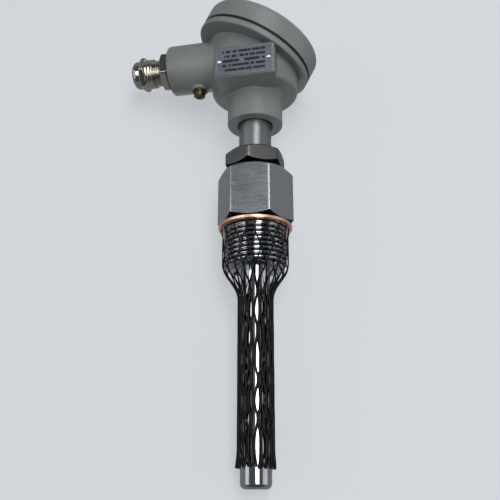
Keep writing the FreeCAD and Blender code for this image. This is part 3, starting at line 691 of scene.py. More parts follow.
@dataclass(frozen=True)
class Ceramic(Recipe):
    """Glazed ceramic of the terminal block."""

    colour: Colour
    shade: Colour
    cloud_scale: float = 140.0
    clouded: Span = (0.35, 0.7)
    speck_scale: float = 2400.0
    specked: Span = (0.7, 0.8)
    speck_share: float = 0.35
    speck_tone: float = 0.5
    roughness: Span = (0.22, 0.34)
    glaze: float = 0.35
    glaze_roughness: float = 0.12
    wave_depth: float = 0.1
    wave_shown: float = 0.3

    def material(self) -> bpy.types.Material:
        """Build the ceramic: faint clouding and specks under a clear glaze."""
        s = Shader(self.name)
        cloud = s.noise(self.cloud_scale, Detail.CLOUDED)
        speck = s.noise(self.speck_scale, Detail.PLAIN)
        base = s.patched(self.colour, self.shade, cloud, self.clouded)
        dark = toned(self.shade, self.speck_tone)
        base = s.patched(base, dark, speck, self.specked, self.speck_share)
        rough = s.fit(cloud, *MIDDLE, *self.roughness)
        normal = s.bump(cloud, self.wave_depth, self.wave_shown)
        s.surface_is(Coat_Weight=self.glaze, Coat_Roughness=self.glaze_roughness)
        return s.surface_is(Base_Color=base, Roughness=rough, Normal=normal)


class Finish:
    """The finishes of the sensor, one for each material slot of the record."""

    recipes: ClassVar[Tuple[Recipe, ...]] = (
        CastPaint("head_paint", (0.176, 0.188, 0.185), (0.21, 0.223, 0.219)),
        Metal(
            "pocket_steel", (0.46, 0.475, 0.49), (0.36, 0.375, 0.39), Grain.AROUND_Z, 0.2, 0.32,
            stain_share=0.6, stain_scale=110.0, mark_depth=0.013, mark_shade=0.84, polish_below=0.0,
            # Painted shade: dark bands in the gap above the gasket, on the undersides near it, and in
            # the thread roots.
            oiled=(PaintedGrooveShade(1.9, 3.05, 5.6), PaintedRootShade(-25.0, -1.2, 18.0, 19.5)),
        ),
        Metal(
            "tube_steel", (0.27, 0.28, 0.285), (0.18, 0.185, 0.19), Grain.AROUND_Z, 0.34, 0.46,
        ),
        Metal(
            "nut_steel", (0.165, 0.17, 0.165), (0.108, 0.108, 0.104), Grain.EVEN, 0.28, 0.4,
            # Painted shade: a dark band in the gap under the nut and on its undersides.
            stain_share=0.6, stain_scale=150.0, oiled=(PaintedGrooveShade(37.4, 40.75, 43.2),),
        ),
        Metal(
            "copper", (0.93, 0.6, 0.45), (0.72, 0.4, 0.27), Grain.AROUND_Z, 0.28, 0.44,
            stain_share=0.6,
        ),
        NetPlastic("net_plastic", (0.004, 0.004, 0.005), (0.011, 0.011, 0.013)),
        Rubber("seal_rubber", (0.006, 0.006, 0.006), (0.016, 0.016, 0.016), 0.6, 0.75),
        PlateMetal(
            "plate_metal", (0.5, 0.53, 0.57), (0.205, 0.235, 0.275), (0.02, 0.022, 0.026),
        ),
        Metal(
            "rivet_metal", (0.74, 0.75, 0.77), (0.5, 0.5, 0.51), Grain.EVEN, 0.14, 0.28,
            stain_share=0.4,
        ),
        # Painted shade: the brass is darkened to the tone the screw shows in the shade under the
        # boss.
        Metal(
            "earth_brass", (0.13, 0.11, 0.065), (0.06, 0.052, 0.035), Grain.EVEN, 0.34, 0.5,
            stain_share=0.8,
        ),
        Metal(
            "gland_nickel", (0.46, 0.435, 0.38), (0.3, 0.27, 0.22), Grain.AROUND_X, 0.06, 0.14,
            stain_share=0.2, stain_scale=140.0,
        ),
        Rubber("slip_plastic", (0.52, 0.5, 0.44), (0.6, 0.58, 0.52), 0.38, 0.52),
        Metal(
            "insert_steel", (0.56, 0.56, 0.56), (0.4, 0.4, 0.4), Grain.AROUND_Z, 0.22, 0.36,
        ),
        Ceramic("block_ceramic", (0.76, 0.74, 0.69), (0.7, 0.67, 0.6)),
        Metal(
            "terminal_brass", (0.68, 0.52, 0.25), (0.42, 0.3, 0.13), Grain.EVEN, 0.2, 0.36,
        ),
        Rubber("lead_sleeve", (0.62, 0.6, 0.56), (0.7, 0.68, 0.63), 0.3, 0.42),
    )
    made: ClassVar[Dict[str, bpy.types.Material]] = {}

    @classmethod
    def of(cls, slot: str) -> bpy.types.Material:
        """Material of a slot, made the first time that it is asked for.

        Args:
            slot: a material slot of the record.

        Returns:
            The slot's material.
        """
        if slot not in cls.made:
            recipe = next(r for r in cls.recipes if r.name == slot)
            cls.made[slot] = recipe.material()
        return cls.made[slot]


@dataclass(frozen=True)
class Hexagon:
    """A spanner hexagon with eased corners, turned down at its ends."""

    flats: float
    low: float
    high: float
    turn: float
    corner: float = 0.7
    inset: float = 0.3
    slope: float = 30.0
    ease: float = 0.3
    along_flat: int = 9
    chamfer_low: bool = True

    @property
    def face_r(self) -> float:
        """Radius of the round end face."""
        return self.flats / 2 - self.inset

    @property
    def hub(self) -> float:
        """Distance of a corner arc's centre from the axis."""
        return (self.flats / 2 - self.corner) / math.cos(SIXTH / 2)

    @property
    def arc_half(self) -> float:
        """Half of the angle that a corner's arc takes up, seen from the axis."""
        return math.atan2(self.corner / 2, self.hub + self.corner * math.cos(SIXTH / 2))

    def angles(self) -> List[float]:
        """Angles of the columns: close at the corners, even along the flats."""
        arc = self.arc_half
        sector = [-arc, -arc / 2, 0.0, arc / 2]
        start, end = math.tan(SIXTH / 2 - arc), -math.tan(SIXTH / 2 - arc)
        for i in range(self.along_flat + 1):
            sector.append(SIXTH / 2 - math.atan(start + (end - start) * i / (self.along_flat + 1)))
        turn = math.radians(self.turn)
        return [turn + SIXTH * k + a for k in range(6) for a in sector]

    def radius(self, angle: float) -> float:
        """Distance from the axis to the outline at an angle."""
        off = abs((angle - math.radians(self.turn) + SIXTH / 2) % SIXTH - SIXTH / 2)
        if off >= self.arc_half:
            return self.flats / 2 / math.cos(SIXTH / 2 - off)
        across = self.hub * math.sin(off)
        return self.hub * math.cos(off) + math.sqrt(self.corner**2 - across**2)

    def end_rows(self, end: float, inward: float, chamfer: bool) -> List[RowShape]:
        """Rows of one end, from its face out to the flats.

        Args:
            end: height of the end face.
            inward: 1 if the hexagon lies above that face, -1 if below.
            chamfer: whether the end is turned down.

        Returns:
            Four rows: face edge, both sides of the eased edge, and one that keeps the flats flat.
        """
        start = self.face_r if chamfer else self.flats
        slope = math.tan(math.radians(self.slope))

        def on_slope(angle: float) -> Tuple[float, float]:
            """The eased edge's side towards the face."""
            r = max(self.face_r, self.radius(angle) - self.ease)
            return r, end + inward * max(0.0, r - start) * slope

        def on_flat(angle: float, eases: float = 1.0) -> Tuple[float, float]:
            """The eased edge's side on the flat, or a row further along it."""
            r = self.radius(angle)
            return r, end + inward * (max(0.0, r - start) * slope + eases * self.ease)

        return [flat_row(self.face_r, end), on_slope, on_flat, lambda angle: on_flat(angle, 2.0)]

    def rows(self) -> List[RowShape]:
        """All rows of the hexagon, from its low face to its high one."""
        low = self.end_rows(self.low, 1.0, self.chamfer_low)
        high = self.end_rows(self.high, -1.0, True)
        return low + high[::-1]


def flat_row(radius: float, height: float) -> RowShape:
    """A round row of a turned form."""
    return lambda angle: (radius, height)


def arc_rows(centre: Tuple[float, float], radius: float, start: float, end: float,
             steps: int = 7) -> List[RowShape]:
    """Round rows along an arc of the profile.

    Args:
        centre: the arc's centre as (radius, height).
        radius: the arc's radius.
        start: angle of its first row in degrees, 0 pointing outwards and 90 up.
        end: angle of its last row.
        steps: spaces between rows.

    Returns:
        The rows from start to end.
    """
    rows = []
    for i in range(steps + 1):
        a = math.radians(start + (end - start) * i / steps)
        rows.append(flat_row(centre[0] + radius * math.cos(a), centre[1] + radius * math.sin(a)))
    return rows


def even_rows(radius: float, low: float, high: float, step: float) -> List[RowShape]:
    """Round rows of one radius, evenly spaced, for a wall that a thread is cut into."""
    count = max(1, round((high - low) / step))
    return [flat_row(radius, low + (high - low) * i / count) for i in range(count + 1)]


def turned_mesh(name: str, rows: Sequence[RowShape], angles: Sequence[float],
                closed: bool) -> bpy.types.Mesh:
    """Build a form about Z from its rows.

    Args:
        name: the mesh's name.
        rows: radius and height for each angle, row by row round the profile.
        angles: angles of the columns.
        closed: whether the last row joins the first; else both ends close on the axis.

    Returns:
        The mesh, in millimetres, with its faces pointing outwards.
    """
    form = bmesh.new()
    rings = []
    for row in rows:
        ring = []
        for angle in angles:
            r, z = row(angle)
            ring.append(form.verts.new((r * math.cos(angle), r * math.sin(angle), z)))
        rings.append(ring)
    pairs = list(zip(rings, rings[1:])) + ([(rings[-1], rings[0])] if closed else [])
    count = len(angles)
    for one, two in pairs:
        for i in range(count):
            k = (i + 1) % count
            form.faces.new((one[i], one[k], two[k], two[i]))
    bmesh.ops.remove_doubles(form, verts=form.verts, dist=WELD)
    bmesh.ops.dissolve_degenerate(form, edges=form.edges, dist=SLIVER)
    bmesh.ops.recalc_face_normals(form, faces=form.faces)
    mesh = bpy.data.meshes.new(name)
    form.to_mesh(mesh)
    form.free()
    return mesh


@dataclass(frozen=True)
class ThreadSizes:
    """Sizes of a screw thread; only points beyond the least radius are moved."""

    low: float
    high: float
    pitch: float
    depth: float
    run_out: float
    least_radius: float


@dataclass(frozen=True)
class CoilSizes:
    """Sizes of the insert's compression springs."""

    low: float = 107.05
    high: float = 118.45
    coil_radius: float = 3.1
    wire_radius: float = 0.4
    turns: float = 5.0


@dataclass(frozen=True)
class NetSizes:
    """Sizes of the net sleeve, with angles in radians."""

    top: float = -0.4
    bottom: float = -142.5
    thread_radius: float = 19.85
    stem_radius: float = 9.6
    shoulder_top: float = -23.2
    shoulder_bottom: float = -47.2
    shoulder_power: float = 1.4
    mouth: float = 1.1
    mouth_length: float = 6.0
    cell: float = 25.8
    cell_on_thread: float = 23.0
    first_joint: float = -4.8
    turn: float = math.radians(-2.9)
    twist: float = math.radians(-5.0)
    strand_width: float = 1.4
    strand_height: float = 1.3
    stretched: float = 0.58
    flare_length: float = 12.0
    flare: float = 1.9
    flare_side: float = math.radians(192.0)
    unevenness: float = 0.2
    ragged: float = 1.8
    spread: float = 0.17
    strands: int = 36
    points: int = 170


@dataclass(frozen=True)
class Wander:
    """A slow noise over the net: its change round it, its waves per millimetre down it, its place."""

    spread: float
    waves: float
    shift: float


class Rule(Tree):
    """A Geometry Nodes tree with a named input for each size.

    It ends in Realize Instances and Set Material.
    """

    SOCKETS: ClassVar[Dict[type, str]] = {float: "NodeSocketFloat", int: "NodeSocketInt"}

    def __init__(self, name: str, sizes: type) -> None:
        """Make the tree with its inputs.

        Args:
            name: the tree's name.
            sizes: dataclass whose fields become inputs.
        """
        super().__init__(bpy.data.node_groups.new(name, "GeometryNodeTree"))
        self.ids: Dict[str, str] = {}
        self.source = self.add("NodeGroupInput")
        self.end = self.add("NodeGroupOutput")
        self.tree.interface.new_socket(
            "Geometry", in_out="OUTPUT", socket_type="NodeSocketGeometry"
        )
        self.geometry = self.named("geometry", "NodeSocketGeometry")
        self.finish = self.named("material", "NodeSocketMaterial")
        self.size = {f.name: self.named(f.name, self.SOCKETS[f.type]) for f in fields(sizes)}

    def named(self, field: str, kind: str) -> Socket:
        """Add a named input to the tree.

        Args:
            field: what the input is called in the code; run_out is shown as Run Out.
            kind: Blender's name of the socket type.

        Returns:
            The socket that carries it inside the tree.
        """
        name = field.replace("_", " ").title()
        item = self.tree.interface.new_socket(name, in_out="INPUT", socket_type=kind)
        self.ids[field] = item.identifier
        return self.source.outputs[name]

    def close(self, geometry: Socket) -> None:
        """End the tree: realise what is instanced, set the material and hand it out."""
        real = self.add("GeometryNodeRealizeInstances", {"Geometry": geometry}).outputs["Geometry"]
        dressed = self.add("GeometryNodeSetMaterial", {"Geometry": real, "Material": self.finish})
        self.feed(self.end.inputs["Geometry"], dressed.outputs["Geometry"])

    def moved(self, geometry: Socket, **inputs: Any) -> Socket:
        """Set the place of points, with the inputs of a Set Position node."""
        node = self.add("GeometryNodeSetPosition", {"Geometry": geometry, **inputs})
        return node.outputs["Geometry"]

    def swept(self, curve: Socket, section: Socket, **inputs: Any) -> Socket:
        """Sweep a section along a curve and close both ends."""
        ends = {"Curve": curve, "Profile Curve": section, "Fill Caps": True}
        return self.add("GeometryNodeCurveToMesh", {**ends, **inputs}).outputs["Mesh"]

    def circle(self, sides: int, radius: Any) -> Socket:
        """A round section."""
        inputs = {"Resolution": sides, "Radius": radius}
        return self.add("GeometryNodeCurvePrimitiveCircle", inputs).outputs["Curve"]

    def grow(self, mesh: bpy.types.Mesh, sizes: Any, slot: str) -> bpy.types.Mesh:
        """Run the tree on a mesh.

        Args:
            mesh: what the tree starts from.
            sizes: values of the tree's inputs.
            slot: the material slot whose finish it sets.

        Returns:
            The result as a plain mesh.
        """
        holder = bpy.data.objects.new("holder", mesh)
        bpy.context.scene.collection.objects.link(holder)
        modifier = holder.modifiers.new("rule", "NODES")
        modifier.node_group = self.tree
        modifier[self.ids["material"]] = Finish.of(slot)
        for size in fields(sizes):
            modifier[self.ids[size.name]] = getattr(sizes, size.name)
        graph = bpy.context.evaluated_depsgraph_get()
        plain = bpy.data.meshes.new_from_object(holder.evaluated_get(graph))
        holder.modifiers.remove(modifier)
        bpy.data.objects.remove(holder)
        return plain


class ThreadRule(Rule):
    """Cuts a screw thread about Z into a plain wall."""

    CREST: ClassVar[float] = 0.2
    ROOT: ClassVar[float] = 0.92

    def __init__(self) -> None:
        """Build the tree: each point of the wall moves towards the axis by the depth there."""
        super().__init__("screw_thread", ThreadSizes)
        low, high, run_out = (self.size[name] for name in ("low", "high", "run_out"))
        x, y, z = self.split(self.add("GeometryNodeInputPosition").outputs["Position"])
        radius = self.from_axis(x, y)
        turn = self.calc("DIVIDE", self.calc("ARCTAN2", y, x), FULL_TURN)
        rise = self.calc("DIVIDE", z, self.size["pitch"])
        phase = self.calc("FRACT", self.calc("SUBTRACT", rise, turn))
        wave = self.calc("ABSOLUTE", self.calc("SUBTRACT", self.product(phase, 2.0), 1.0))
        flank = self.fit(wave, self.CREST, self.ROOT)
        starts = self.fit(z, low, self.total(low, run_out))
        ends = self.fit(z, self.calc("SUBTRACT", high, run_out), high, 1.0, 0.0)
        cut = self.product(self.product(self.size["depth"], flank), self.product(starts, ends))
        share = self.calc("DIVIDE", self.product(cut, -1.0), radius)
        self.close(self.moved(
            self.geometry,
            Selection=self.calc("GREATER_THAN", radius, self.size["least_radius"]),
            Offset=self.vector(self.product(x, share), self.product(y, share)),
        ))


class CoilRule(Rule):
    """Winds a compression spring with flat end turns on each point of a mesh."""

    FLAT: ClassVar[float] = 0.11
    STEPS: ClassVar[int] = 28
    SIDES: ClassVar[int] = 10

    def __init__(self) -> None:
        """Build the tree: a flat spiral, raised along its length and swept into a wire."""
        super().__init__("coil_spring", CoilSizes)
        coil_r, wire_r = self.size["coil_radius"], self.size["wire_radius"]
        wound = self.add("GeometryNodeCurveSpiral", {
            "Resolution": self.STEPS,
            "Rotations": self.size["turns"],
            "Start Radius": coil_r,
            "End Radius": coil_r,
            "Height": 0.0,
        })
        share = self.add("GeometryNodeSplineParameter").outputs["Factor"]
        low = self.total(self.size["low"], wire_r)
        high = self.calc("SUBTRACT", self.size["high"], wire_r)
        height = self.fit(share, self.FLAT, 1.0 - self.FLAT, low, high)
        raised = self.moved(wound.outputs["Curve"], Offset=self.vector(z=height))
        wire = self.swept(raised, self.circle(self.SIDES, wire_r))
        inputs = {"Points": self.geometry, "Instance": wire}
        self.close(self.add("GeometryNodeInstanceOnPoints", inputs).outputs["Instances"])


class NetRule(Rule):
    """Lays the net's strands round thread and stem, joined by turns with either neighbour."""

    SEED: ClassVar[int] = 7
    SIDES: ClassVar[int] = 8
    JOINED: ClassVar[float] = 0.25
    SLANT: ClassVar[float] = 0.94
    UNEVEN_TOP: ClassVar[float] = 0.8
    FLARE_POWER: ClassVar[float] = 1.6
    FLARE_BEHIND: ClassVar[float] = 0.45
    LEAST_FLARE: ClassVar[float] = 0.55
    NOISE: ClassVar[Span] = (0.25, 0.75)
    LATE: ClassVar[Wander] = Wander(2.2, 0.03, 3.0)
    DRIFT: ClassVar[Wander] = Wander(1.4, 0.022, 9.0)
    DRIFT_STEPS: ClassVar[float] = 2.5

    def __init__(self) -> None:
        """Build the tree: a line per strand, bent onto the net's outline and swept into a strand."""
        super().__init__("net_strands", NetSizes)
        self.number: Any = None
        lines = self.lines()
        height = self.height()
        self.slim = self.down_shoulder(height, self.size["stretched"], 1.0)
        base = self.product(self.calc("DIVIDE", self.number, self.size["strands"]), FULL_TURN)
        radius = self.radius(height, base)
        angle = self.angle(height, base, radius)
        self.close(self.laid(lines, angle, radius, height))

    def chance(self, low: float, high: float, draw: Draw) -> Socket:
        """A random value for each strand.

        Args:
            low: least value.
            high: greatest value.
            draw: which of the strand's random values.

        Returns:
            The value's socket.
        """
        node = self.add("FunctionNodeRandomValue", data_type="FLOAT")
        sockets = [i for i in node.inputs if i.enabled]
        for socket, value in zip(sockets, (low, high, self.number, self.SEED + draw.value)):
            self.feed(socket, value)
        return next(o for o in node.outputs if o.enabled)

    def wander(self, height: Socket, base: Socket, noise: Wander) -> Socket:
        """A slow noise over the net times its unevenness.

        Args:
            height: where on the strand.
            base: the strand's angle.
            noise: which noise.

        Returns:
            The noise's socket.
        """
        x = self.total(self.product(self.calc("COSINE", base), noise.spread), noise.shift)
        y = self.product(self.calc("SINE", base), noise.spread)
        spot = self.vector(x, y, self.product(height, noise.waves))
        inputs = {"Vector": spot, "Scale": 1.0, "Detail": Detail.PLAIN.value}
        node = self.add("ShaderNodeTexNoise", inputs)
        value = self.fit(node.outputs[0], *self.NOISE, -1.0, 1.0)
        return self.product(value, self.size["unevenness"])

    def down_shoulder(self, height: Socket, above: Any, below: Any, smooth: bool = False) -> Socket:
        """A value that changes down the shoulder between thread and stem.

        Args:
            height: where on the strand.
            above: value on the thread.
            below: value on the stem.
            smooth: whether the ends ease in and out.

        Returns:
            The value's socket.
        """
        low, high = self.size["shoulder_bottom"], self.size["shoulder_top"]
        return self.fit(height, low, high, below, above, smooth)

    def lines(self) -> Socket:
        """One straight line for each strand, with the strand's number kept on its points."""
        line = self.add("GeometryNodeCurvePrimitiveLine", {"End": tuple(UP)}).outputs["Curve"]
        inputs = {"Curve": line, "Count": self.size["points"]}
        fine = self.add("GeometryNodeResampleCurve", inputs).outputs["Curve"]
        inputs = {"Geometry": fine, "Amount": self.size["strands"]}
        copies = self.add("GeometryNodeDuplicateElements", inputs, domain="SPLINE").outputs
        inputs = {"Geometry": copies["Geometry"]}
        kept = self.add("GeometryNodeCaptureAttribute", inputs, domain="POINT")
        kept.capture_items.new("INT", "Number")
        self.feed(kept.inputs["Number"], copies["Duplicate Index"])
        self.number = kept.outputs["Number"]
        return kept.outputs["Geometry"]

    def height(self) -> Socket:
        """Height of each point, with strands of slightly different length."""
        share = self.add("GeometryNodeSplineParameter").outputs["Factor"]
        top = self.calc("SUBTRACT", self.size["top"], self.chance(0.0, self.UNEVEN_TOP, Draw.TOP))
        ragged = self.product(self.size["ragged"], self.chance(0.0, 1.0, Draw.BOTTOM))
        return self.fit(share, 0.0, 1.0, top, self.total(self.size["bottom"], ragged))

    def radius(self, height: Socket, base: Socket) -> Socket:
        """Distance of each point from the axis: thread, shoulder, stem, wide mouth and loose end.

        Args:
            height: the point's height.
            base: the strand's angle.

        Returns:
            The radius at the middle of the strand.
        """
        size = self.size
        wide = self.down_shoulder(height, 1.0, 0.0, smooth=True)
        wide = self.calc("POWER", wide, size["shoulder_power"])
        radius = self.fit(wide, 0.0, 1.0, size["stem_radius"], size["thread_radius"])
        down = self.calc("SUBTRACT", size["top"], height)
        mouth = self.fit(down, 0.0, size["mouth_length"], size["mouth"], 0.0, smooth=True)
        loose_from = self.total(size["bottom"], size["flare_length"])
        loose = self.fit(height, loose_from, size["bottom"])
        side = self.calc("COSINE", self.calc("SUBTRACT", base, size["flare_side"]))
        flare = self.product(
            size["flare"],
            self.fit(side, -1.0, 1.0, self.FLARE_BEHIND, 1.0),
            self.chance(self.LEAST_FLARE, 1.0, Draw.FLARE),
            self.calc("POWER", loose, self.FLARE_POWER),
        )
        half = self.product(size["strand_height"], 0.5, self.slim)
        return self.total(radius, mouth, flare, half)

    def sway(self, height: Socket, base: Socket) -> Socket:
        """Lean of an even strand, from -1 to 1: one wave for each cell of the net.

        Args:
            height: the point's height.
            base: the strand's angle.

        Returns:
            The lean's socket.
        """
        size = self.size
        above = self.calc("MAXIMUM", height, size["shoulder_top"])
        above = self.calc("SUBTRACT", size["first_joint"], above)
        below = self.calc("MINIMUM", self.calc("SUBTRACT", height, size["shoulder_top"]), 0.0)
        cells = self.total(
            self.calc("DIVIDE", above, size["cell_on_thread"]),
            self.calc("DIVIDE", self.product(below, -1.0), size["cell"]),
        )
        late = self.wander(height, base, self.LATE)
        wave = self.calc("COSINE", self.product(self.total(cells, late), FULL_TURN))
        return self.fit(wave, -self.SLANT, self.SLANT, -1.0, 1.0)

    def angle(self, height: Socket, base: Socket, radius: Socket) -> Socket:
        """Angle of each point: even strands lean one way and odd ones the other, by turns.

        Args:
            height: the point's height.
            base: the strand's angle.
            radius: the point's distance from the axis.

        Returns:
            The angle in radians.
        """
        size = self.size
        arc = self.calc("DIVIDE", self.product(radius, FULL_TURN), size["strands"])
        width = self.product(size["strand_width"], self.slim)
        joined = self.calc("DIVIDE", self.product(width, self.JOINED), arc)
        swing = self.product(self.calc("SUBTRACT", 1.0, joined, clamp=True), 0.5)
        odd = self.calc("MODULO", self.number, 2.0)
        sign = self.calc("SUBTRACT", 1.0, self.product(odd, 2.0))
        lean = self.product(self.sway(height, base), swing, sign)
        drift = self.product(self.wander(height, base, self.DRIFT), self.DRIFT_STEPS)
        on_stem = self.down_shoulder(height, 0.0, 1.0)
        apart = self.product(self.chance(-1.0, 1.0, Draw.SPREAD), size["spread"], on_stem)
        steps = self.total(lean, drift, apart)
        angle = self.product(steps, self.calc("DIVIDE", FULL_TURN, size["strands"]))
        twist = self.down_shoulder(height, 0.0, size["twist"])
        return self.total(angle, base, size["turn"], twist)

    def laid(self, lines: Socket, angle: Socket, radius: Socket, height: Socket) -> Socket:
        """Bend the lines into place and sweep an oval along them.

        Args:
            lines: the strands' lines.
            angle: angle of each point.
            radius: its distance from the axis.
            height: its height.

        Returns:
            The strands' mesh.
        """
        cosine, sine = self.calc("COSINE", angle), self.calc("SINE", angle)
        place = self.vector(self.product(radius, cosine), self.product(radius, sine), height)
        bent = self.moved(lines, Position=place)
        inputs = {"Curve": bent, "Normal": self.vector(cosine, sine)}
        facing = self.add("GeometryNodeSetCurveNormal", inputs, mode="FREE").outputs["Curve"]
        oval = self.vector(self.size["strand_height"], self.size["strand_width"], 1.0)
        inputs = {"Geometry": self.circle(self.SIDES, 0.5), "Scale": oval}
        section = self.add("GeometryNodeTransform", inputs).outputs["Geometry"]
        inputs = {"Geometry": self.swept(facing, section, Scale=self.slim)}
        return self.add("GeometryNodeSetShadeSmooth", inputs).outputs["Geometry"]


@dataclass(frozen=True)
class Assembly:
    """What every sub-assembly shares: its body, and the calls that make and dress its pieces."""

    body: str = "sensor"
    FINISHES: ClassVar[Dict[str, str]] = {}

    def dress(self) -> None:
        """Give each of the solids that stay its finish."""
        for node, slot in self.FINISHES.items():
            solid = frame["nodes"][node]
            solid.data.materials.clear()
            solid.data.materials.append(Finish.of(slot))
            LOG.info("dressed %s with %s", node, slot)

    def stand_in(self, name: str, mesh: bpy.types.Mesh, node: str, slot: str, body: str,
                 place: Optional[Matrix] = None) -> bpy.types.Object:
        """Add a piece that stands for a solid.

        Args:
            name: the piece's name.
            mesh: its mesh, in millimetres.
            node: the solid that it replaces.
            slot: the material slot whose finish it takes.
            body: the body that it rides on.
            place: where the mesh goes, in millimetres.

        Returns:
            The piece.
        """
        mesh.transform(Matrix.Scale(MM, 4) @ (place or Matrix.Identity(4)))
        mesh.name = name
        mesh.materials.clear()
        mesh.materials.append(Finish.of(slot))
        mesh.shade_smooth()
        mesh.set_sharp_from_angle(angle=SHARP_ANGLE)
        piece = bpy.data.objects.new(name, mesh)
        bpy.context.scene.collection.objects.link(piece)
        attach(piece, body)
        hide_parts(node)
        LOG.info("made %s for %s, %d faces", name, node, len(mesh.polygons))
        return piece


@dataclass(frozen=True)
class Pocket(Assembly):
    """Turned pocket with hexagon, thread and stem, and its copper gasket."""

    stem_r: float = 9.0
    tip_r: float = 3.2
    tip_z: float = -153.0
    bore_r: float = 3.4
    bore_z: float = -147.0
    thread_r: float = 19.5
    thread_low: float = -25.6
    thread_high: float = -1.0
    thread_chamfer: float = 1.8
    thread_pitch: float = 3.0
    thread_depth: float = 1.5
    run_out: float = 1.2
    rows_a_turn: int = 12
    relief_depth: float = 1.4
    collar_r: float = 20.4
    collar_low: float = 2.0
    hexagon: Hexagon = Hexagon(42.0, 3.0, 37.5, 2.4, corner=0.8, along_flat=19)
    socket_r: float = 10.5
    socket_z: float = 21.5
    FINISHES: ClassVar[Dict[str, str]] = {"copper_gasket": "copper"}

    @property
    def relief_r(self) -> float:
        """Radius of the plain neck above the thread."""
        return self.thread_r - self.relief_depth

    def rows(self) -> List[RowShape]:
        """Profile from the tip up the outside and down the bore."""
        tip = (self.stem_r - self.tip_r, self.tip_z + self.tip_r)
        chamfer_z = self.thread_low + self.thread_chamfer
        step = self.thread_pitch / self.rows_a_turn
        return [
            flat_row(0.0, self.tip_z),
            *arc_rows(tip, self.tip_r, -90.0, 0.0),
            flat_row(self.stem_r, self.thread_low),
            flat_row(self.thread_r - self.thread_chamfer, self.thread_low),
            *even_rows(self.thread_r, chamfer_z, self.thread_high, step),
            flat_row(self.relief_r, self.thread_high + self.relief_depth),
            flat_row(self.relief_r, self.collar_low),
            flat_row(self.collar_r, self.collar_low),
            flat_row(self.collar_r, self.hexagon.low),
            *self.hexagon.rows(),
            flat_row(self.socket_r, self.hexagon.high),
            flat_row(self.socket_r, self.socket_z),
            flat_row(self.bore_r, self.socket_z),
            flat_row(self.bore_r, self.bore_z),
            flat_row(0.0, self.bore_z),
        ]

    def build(self, thread: ThreadRule) -> None:
        """Make the pocket and dress the gasket."""
        blank = turned_mesh("pocket_blank", self.rows(), self.hexagon.angles(), closed=False)
        sizes = ThreadSizes(
            low=self.thread_low,
            high=self.thread_high,
            pitch=self.thread_pitch,
            depth=self.thread_depth,
            run_out=self.run_out,
            least_radius=self.relief_r,
        )
        pocket = thread.grow(blank, sizes, "pocket_steel")
        self.stand_in("pocket", pocket, "thermowell", "pocket_steel", self.body)
        self.dress()


@dataclass(frozen=True)
class NetSleeve(Assembly):
    """Plastic net sleeve over thread and stem."""

    sizes: NetSizes = NetSizes()

    def build(self, net: NetRule) -> None:
        """Make the net."""
        start = bpy.data.meshes.new("net_start")
        sleeve = net.grow(start, self.sizes, "net_plastic")
        self.stand_in("net_sleeve", sleeve, "protective_net", "net_plastic", self.body)


@dataclass(frozen=True)
class Neck(Assembly):
    """Neck tube and its lock nut."""

    tube_r: float = 10.5
    collar_r: float = 15.2
    collar_low: float = 37.5
    hexagon: Hexagon = Hexagon(34.4, 40.7, 51.5, 28.0, corner=0.9, ease=0.35)
    FINISHES: ClassVar[Dict[str, str]] = {"neck_tube": "tube_steel"}

    def build(self) -> None:
        """Make the lock nut and dress the tube."""
        rows = [
            flat_row(self.tube_r, self.collar_low),
            flat_row(self.collar_r, self.collar_low),
            flat_row(self.collar_r, self.hexagon.low),
            *self.hexagon.rows(),
            flat_row(self.tube_r, self.hexagon.high),
        ]
        nut = turned_mesh("nut", rows, self.hexagon.angles(), closed=True)
        self.stand_in("neck_nut", nut, "lock_nut", "nut_steel", self.body)
        self.dress()


@dataclass(frozen=True)
class Head(Assembly):
    """Cast head with cover, seal, nameplate and earth terminal."""

    FINISHES: ClassVar[Dict[str, str]] = {
        "head_body": "head_paint",
        "head_cover": "head_paint",
        "cover_seal": "seal_rubber",
        "nameplate": "plate_metal",
        "nameplate_rivets": "rivet_metal",
        "earth_screw": "earth_brass",
        "earth_washer": "earth_brass",
    }

    def build(self) -> None:
        """Dress the head's solids, which all stay."""
        self.dress()


